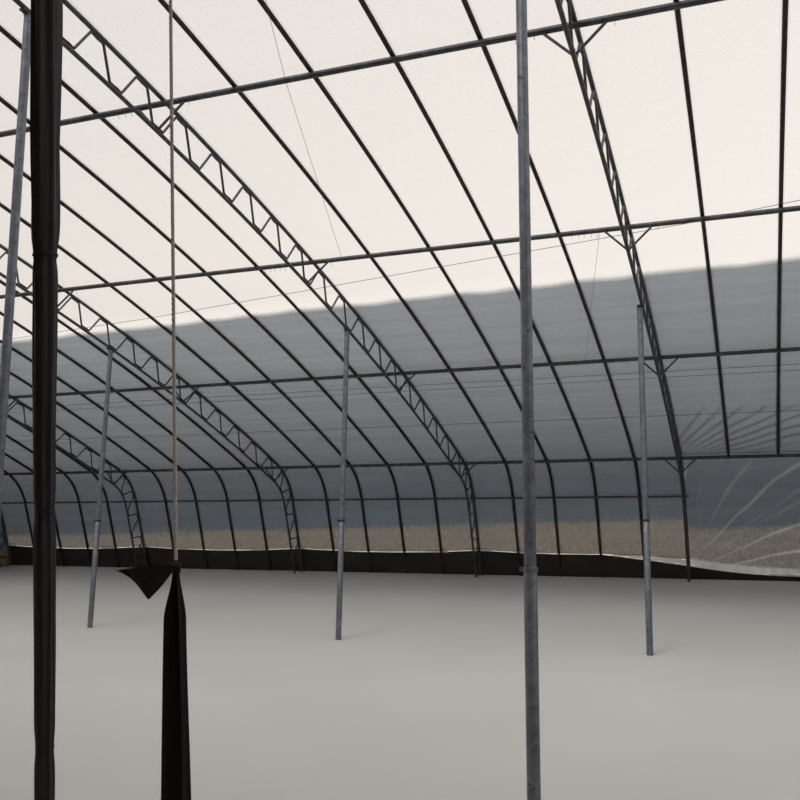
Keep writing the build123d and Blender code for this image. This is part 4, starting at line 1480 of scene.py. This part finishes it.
@dataclass
class WrappedProp:
    """Pole under the vent purlin, bound in dark woven sheeting that hangs in upright folds."""

    x: float = -2.11
    profile: tuple[Flat, ...] = ((0, 44), (0.8, 46), (1.4, 50), (1.9, 57), (2.2, 60), (2.4, 72),
                                 (3.0, 84), (6.0, 84))
    pole_radius: float = 15 * MM
    tie_radius: float = 1.8 * MM
    ties: tuple[float, ...] = (0.35, 1.0, 1.62, 2.32, 3.3, 4.4)
    row: float = 0.03
    sides: int = 44
    lap: float = 6.8
    flat_width: float = 0.26
    waist: float = 0.16
    deep_fold: float = 0.13
    fine_fold: float = 0.14

    def width(self, height: float) -> float:
        """Gives the wrapping's mean radius at a height."""
        for (low, start), (high, end) in zip(self.profile, self.profile[1:]):
            if height <= high:
                break
        share = (height - low) / (high - low)
        return (start + (end - start) * share) / 2 * MM

    def build(self, under: Flat) -> None:
        """Builds the pole and its wrapping.

        Args:
            under: The (d, h) point below the vent purlin where the pole ends.
        """
        heights = even(0, under[1], round(under[1] / self.row))
        ends = [SECTION.place((under[0], height), self.x) for height in (0, under[1])]

        def wrapped(angle: float, height: float) -> Vector:
            bound = min(abs(height - tie) for tie in self.ties)
            waist = 1 - self.waist * math.exp(-((bound / 0.035) ** 2))
            twist = waver(0.0, 2.0, height * 1.1) * 2
            ring = Vector((math.cos(angle) * 1.6, math.sin(angle) * 1.6, height * 0.8))
            deep = math.sin(angle * 7 + twist + noise.noise(ring) * 3) * self.deep_fold
            fine = noise.noise(ring * 3.1) * self.fine_fold
            reach = self.width(height) * (0.94 + deep + fine) * waist
            lift = eased(2 * math.pi - 0.5, self.lap, angle) * 5 * MM
            return SECTION.place((under[0], height), self.x) + spoke(angle) * (reach + lift)

        shape = Shape("prop_wrapping")
        shape.surface(even(0, self.lap, self.sides), heights, wrapped)
        piece = shape.build(Finishes.WRAP, "wrapped_prop", sharp=180)
        pole = Shape("prop_pole")
        pole.tube(ends, self.pole_radius, 12)
        for tie in self.ties:
            loop = []
            for step in range(25):
                angle = 2 * math.pi * step / 12
                slanted = spoke(angle) + Vector((0, 0, 0.12 * math.sin(angle * 0.5)))
                centre = SECTION.place((under[0], tie + step * 0.25 * MM), self.x)
                loop.append(centre + slanted * self.width(tie) * 0.98)
            pole.tube(loop, self.tie_radius, 6)
        pole.build(Finishes.WRAP)


@dataclass
class RopeAndCloth:
    """Laid rope under the vent purlin, its hitch and knot, and the black cloth tied to its end."""

    x: float = -2.524
    diameter: float = 10 * MM
    end_height: float = 1.5
    hitch_height: float = 46 * MM
    knot_height: float = 40 * MM
    cloth_length: float = 1.1
    cloth_neck: float = 0.13
    neck_width: float = 0.055
    cloth_width: float = 0.104
    pitch: float = 42 * MM
    strand_share: float = 0.24
    offset_share: float = 0.26
    hitch_size: float = 5.2 * MM
    knot_size: float = 4.4 * MM
    purlin_radius: float = 22 * MM
    resolution: int = 288
    knot_steps: int = 60
    cloth_rows: int = 90
    cloth_columns: int = 40
    flag_rows: int = 16
    flag_columns: int = 28
    flag_point: float = 0.42
    tied_width: float = 0.017
    cloth_flat_width: float = 0.14
    flag_flat: Flat = (0.15, 0.055)

    def build(self, under: Flat, purlin: Flat) -> None:
        """Builds the rope, its knots and the cloth.

        Args:
            under: The (d, h) point below the vent purlin.
            purlin: The (d, h) centre of the vent purlin.
        """
        top = SECTION.place((under[0], under[1] - self.hitch_height), self.x)
        end = SECTION.place((under[0], self.end_height), self.x)
        middle = top.lerp(end, 0.5) + Vector((0, 2 * MM, 0))
        route = [top, top.lerp(end, 0.03), middle, top.lerp(end, 0.97), end]
        line = spline_points("rope_route", route, self.resolution)
        strand, offset = self.diameter * self.strand_share, self.diameter * self.offset_share
        shape, travelled = Shape("laid_rope"), [0.0]
        for before, after in zip(line, line[1:]):
            travelled.append(travelled[-1] + (after - before).length)
        for index in range(3):
            path = []
            for point, run in zip(line, travelled):
                angle = 2 * math.pi * (run / self.pitch + index / 3)
                path.append(point + spoke(angle) * offset)
            shape.tube(path, strand, 6)
        rope = shape.build(Finishes.ROPE, "pull_rope", sharp=80)
        carried = self.build_knots(top, end, purlin)
        self.build_cloth(end)

    def build_knots(self, top: Vector, end: Vector, purlin: Flat) -> list[bpy.types.Object]:
        """Builds the hitch round the purlin, and the knot of cloth at the rope's end."""
        shape = Shape("rope_hitch")
        thick = self.diameter / 2
        centre = SECTION.place(purlin, self.x)
        for turn in range(2):
            loop = []
            for step in range(25):
                angle = 2 * math.pi * step / 24
                arm = Vector((0, math.cos(angle), math.sin(angle))) * (self.purlin_radius + thick)
                loop.append(centre + arm + Vector(((turn * 11 - 5.5 + step * 0.4) * MM, 0, 0)))
            shape.tube(loop, thick, 8)
        self.add_knot(shape, top + Vector((0, 0, 20 * MM)), self.hitch_size)
        hitch = shape.build(Finishes.ROPE, "rope_knots", sharp=80)
        shape = Shape("cloth_knot")
        self.add_knot(shape, end - Vector((0, 0, self.knot_height / 2)), self.knot_size)
        return [hitch, shape.build(Finishes.CLOTH, sharp=80)]

    def add_knot(self, shape: Shape, centre: Vector, size: float) -> None:
        """Adds an overhand knot: the rope wound through its own loop."""
        path = []
        for t in even(0, 2 * math.pi, self.knot_steps):
            across = Vector((math.sin(t) + 2 * math.sin(2 * t), -math.sin(3 * t) * 1.1,
                             math.cos(t) - 2 * math.cos(2 * t)))
            path.append(centre + across * size)
        shape.tube(path, self.diameter / 2, 8)

    def build_cloth(self, end: Vector) -> None:
        """Builds the pleated strip of cloth and the small flag beside the knot."""
        top = end - Vector((0, 0, self.knot_height * 0.6))

        def on_strip(share: float, fallen: float) -> Vector:
            drop = self.cloth_length * fallen
            neck = eased(0.0, self.cloth_neck, drop)
            low = max(drop - self.cloth_neck, 0.0) / (self.cloth_length - self.cloth_neck)
            width = self.tied_width + (self.neck_width - self.tied_width) * neck
            width += (self.cloth_width - self.neck_width) * low
            phase = share * 8.2 + waver(share, drop * 1.6, 0.0) * 2.2
            depth = math.sin(phase) * (0.35 + 0.65 * neck) * 9 * MM
            sway = (waver(0.0, drop * 1.5, 9.0) * 9 + drop * 8) * MM * neck
            uneven = waver(share * 2, 0.0, 3.0) * 22 * MM * fallen
            side = share * width / 2 + math.cos(phase * 0.9) * 4 * MM * neck + sway
            return top + Vector((side, depth, -drop - uneven))

        def on_flag(reach: float, fallen: float) -> Vector:
            upper = (10 + 19 * reach ** 1.3) * MM
            if reach < self.flag_point:
                lower = (24 + 78 * (reach / self.flag_point) ** 0.85) * MM
            else:
                beyond = (reach - self.flag_point) / (1 - self.flag_point)
                lower = (29 + 73 * max(1 - beyond, 0.0) ** 1.5) * MM
            drop = upper + (lower - upper) * fallen
            depth = math.sin(reach * 11 + fallen * 3.2) * 5 * MM * reach
            return end + Vector(((8 + 176 * reach) * MM, depth, -drop))

        shape = Shape("tied_cloth")
        shape.surface(even(-1, 1, self.cloth_columns), even(0, 1, self.cloth_rows), on_strip)
        strip = shape.build(Finishes.CLOTH, "cloth_strip", sharp=180)
        shape = Shape("tied_flag")
        shape.surface(even(0, 1, self.flag_columns), even(0, 1, self.flag_rows), on_flag)
        flag = shape.build(Finishes.CLOTH, "cloth_flag", sharp=180)


@dataclass
class Studio:
    """Pale floor, soft light and the camera at the photograph's place."""

    eye: tuple[float, float, float] = (-3.897, 6.379, 1.734)
    right: tuple[float, float, float] = (-0.93398, -0.35645, -0.02516)
    up: tuple[float, float, float] = (-0.04715, 0.05313, 0.99747)
    lens: float = 41.55
    floor_reach: float = 160.0
    floor_drop: float = 0.5 * MM
    fill: float = 1.3
    backdrop: str = "#fcf5ee"
    sun: float = 1.1
    sun_width: float = math.radians(25)
    sun_turn: tuple[float, float, float] = (math.radians(-38), math.radians(18), 0)

    def build_camera(self) -> None:
        """Places the camera inside the house, near the rear wall, facing the low front."""
        data = bpy.data.cameras.new("camera")
        data.lens = self.lens
        data.clip_start, data.clip_end = 0.05, 500.0
        camera = placed("camera", data)
        right = Vector(self.right).normalized()
        back = right.cross(Vector(self.up)).normalized()
        above = back.cross(right)
        turn = Matrix((right, above, back)).transposed()
        camera.matrix_world = Matrix.Translation(self.eye) @ turn.to_4x4()
        bpy.context.scene.camera = camera

    def build_floor(self) -> None:
        """Lays the floor at ground level."""
        reach = self.floor_reach
        corners = [(-reach, -reach, 0), (reach, -reach, 0), (reach, reach, 0), (-reach, reach, 0)]
        mesh = bpy.data.meshes.new("floor")
        mesh.from_pydata([Vector(c) - Vector((0, 0, self.floor_drop)) for c in corners], [], [(0, 1, 2, 3)])
        mesh.materials.append(Finishes.FLOOR.value.material())
        placed("floor", mesh)

    def build_light(self) -> None:
        """Lights the house softly, with a plain pale background."""
        world = bpy.data.worlds.new("studio")
        world.use_nodes = True
        bpy.context.scene.world = world
        tree = world.node_tree
        tree.nodes.clear()
        path = add(tree, "LightPath").outputs
        seen = path["Is Camera Ray"]
        for ray in ("Is Glossy Ray", "Is Transmission Ray"):
            seen = add(tree, "Math", {0: seen, 1: path[ray]}, operation="MAXIMUM").outputs[0]
        lit = add(tree, "Background", {"Color": "#f8f9fb", "Strength": self.fill}).outputs[0]
        backdrop = add(tree, "Background", {"Color": self.backdrop, "Strength": 1.0}).outputs[0]
        both = add(tree, "MixShader", {0: seen, 1: lit, 2: backdrop}).outputs[0]
        add(tree, "OutputWorld", {0: both})
        data = bpy.data.lights.new("soft_sun", "SUN")
        data.energy, data.angle = self.sun, self.sun_width
        placed("soft_sun", data).rotation_euler = self.sun_turn
        bpy.context.scene.view_settings.view_transform = "Standard"


def dress_masonry() -> None:
    """Finishes the rear wall and the rear roof, which keep their shape."""
    kept = {"rear_wall": Finishes.BRICK, "rear_roof": Finishes.SHEET}
    for name, finish in kept.items():
        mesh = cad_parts[name].data
        mesh.materials.clear()
        mesh.materials.append(finish.value.material())
        log.info("%s keeps its shape", name)


def main() -> None:
    """Builds the house's pieces in order."""
    logging.basicConfig(level=logging.INFO, format="%(message)s")
    studio = Studio()
    studio.build_camera()
    steel = Steelwork()
    purlin, _ = steel.purlin_centre(Mark.VENT)
    under = steel.under_purlin(Mark.VENT)
    RopeAndCloth().build(under, purlin)
    steel.build_ribs()
    steel.build_trusses()
    steel.build_purlins()
    steel.build_braces()
    steel.build_wires()
    steel.build_hooks()
    posts = Posts()
    posts.build()
    EndFrames().build(posts)
    skirts = Skirts()
    Films().build(skirts)
    skirts.build(steel.line)
    LooseFilm().build(skirts)
    WrappedProp().build(under)
    dress_masonry()
    studio.build_floor()
    studio.build_light()


if __name__ == "__main__":
    main()
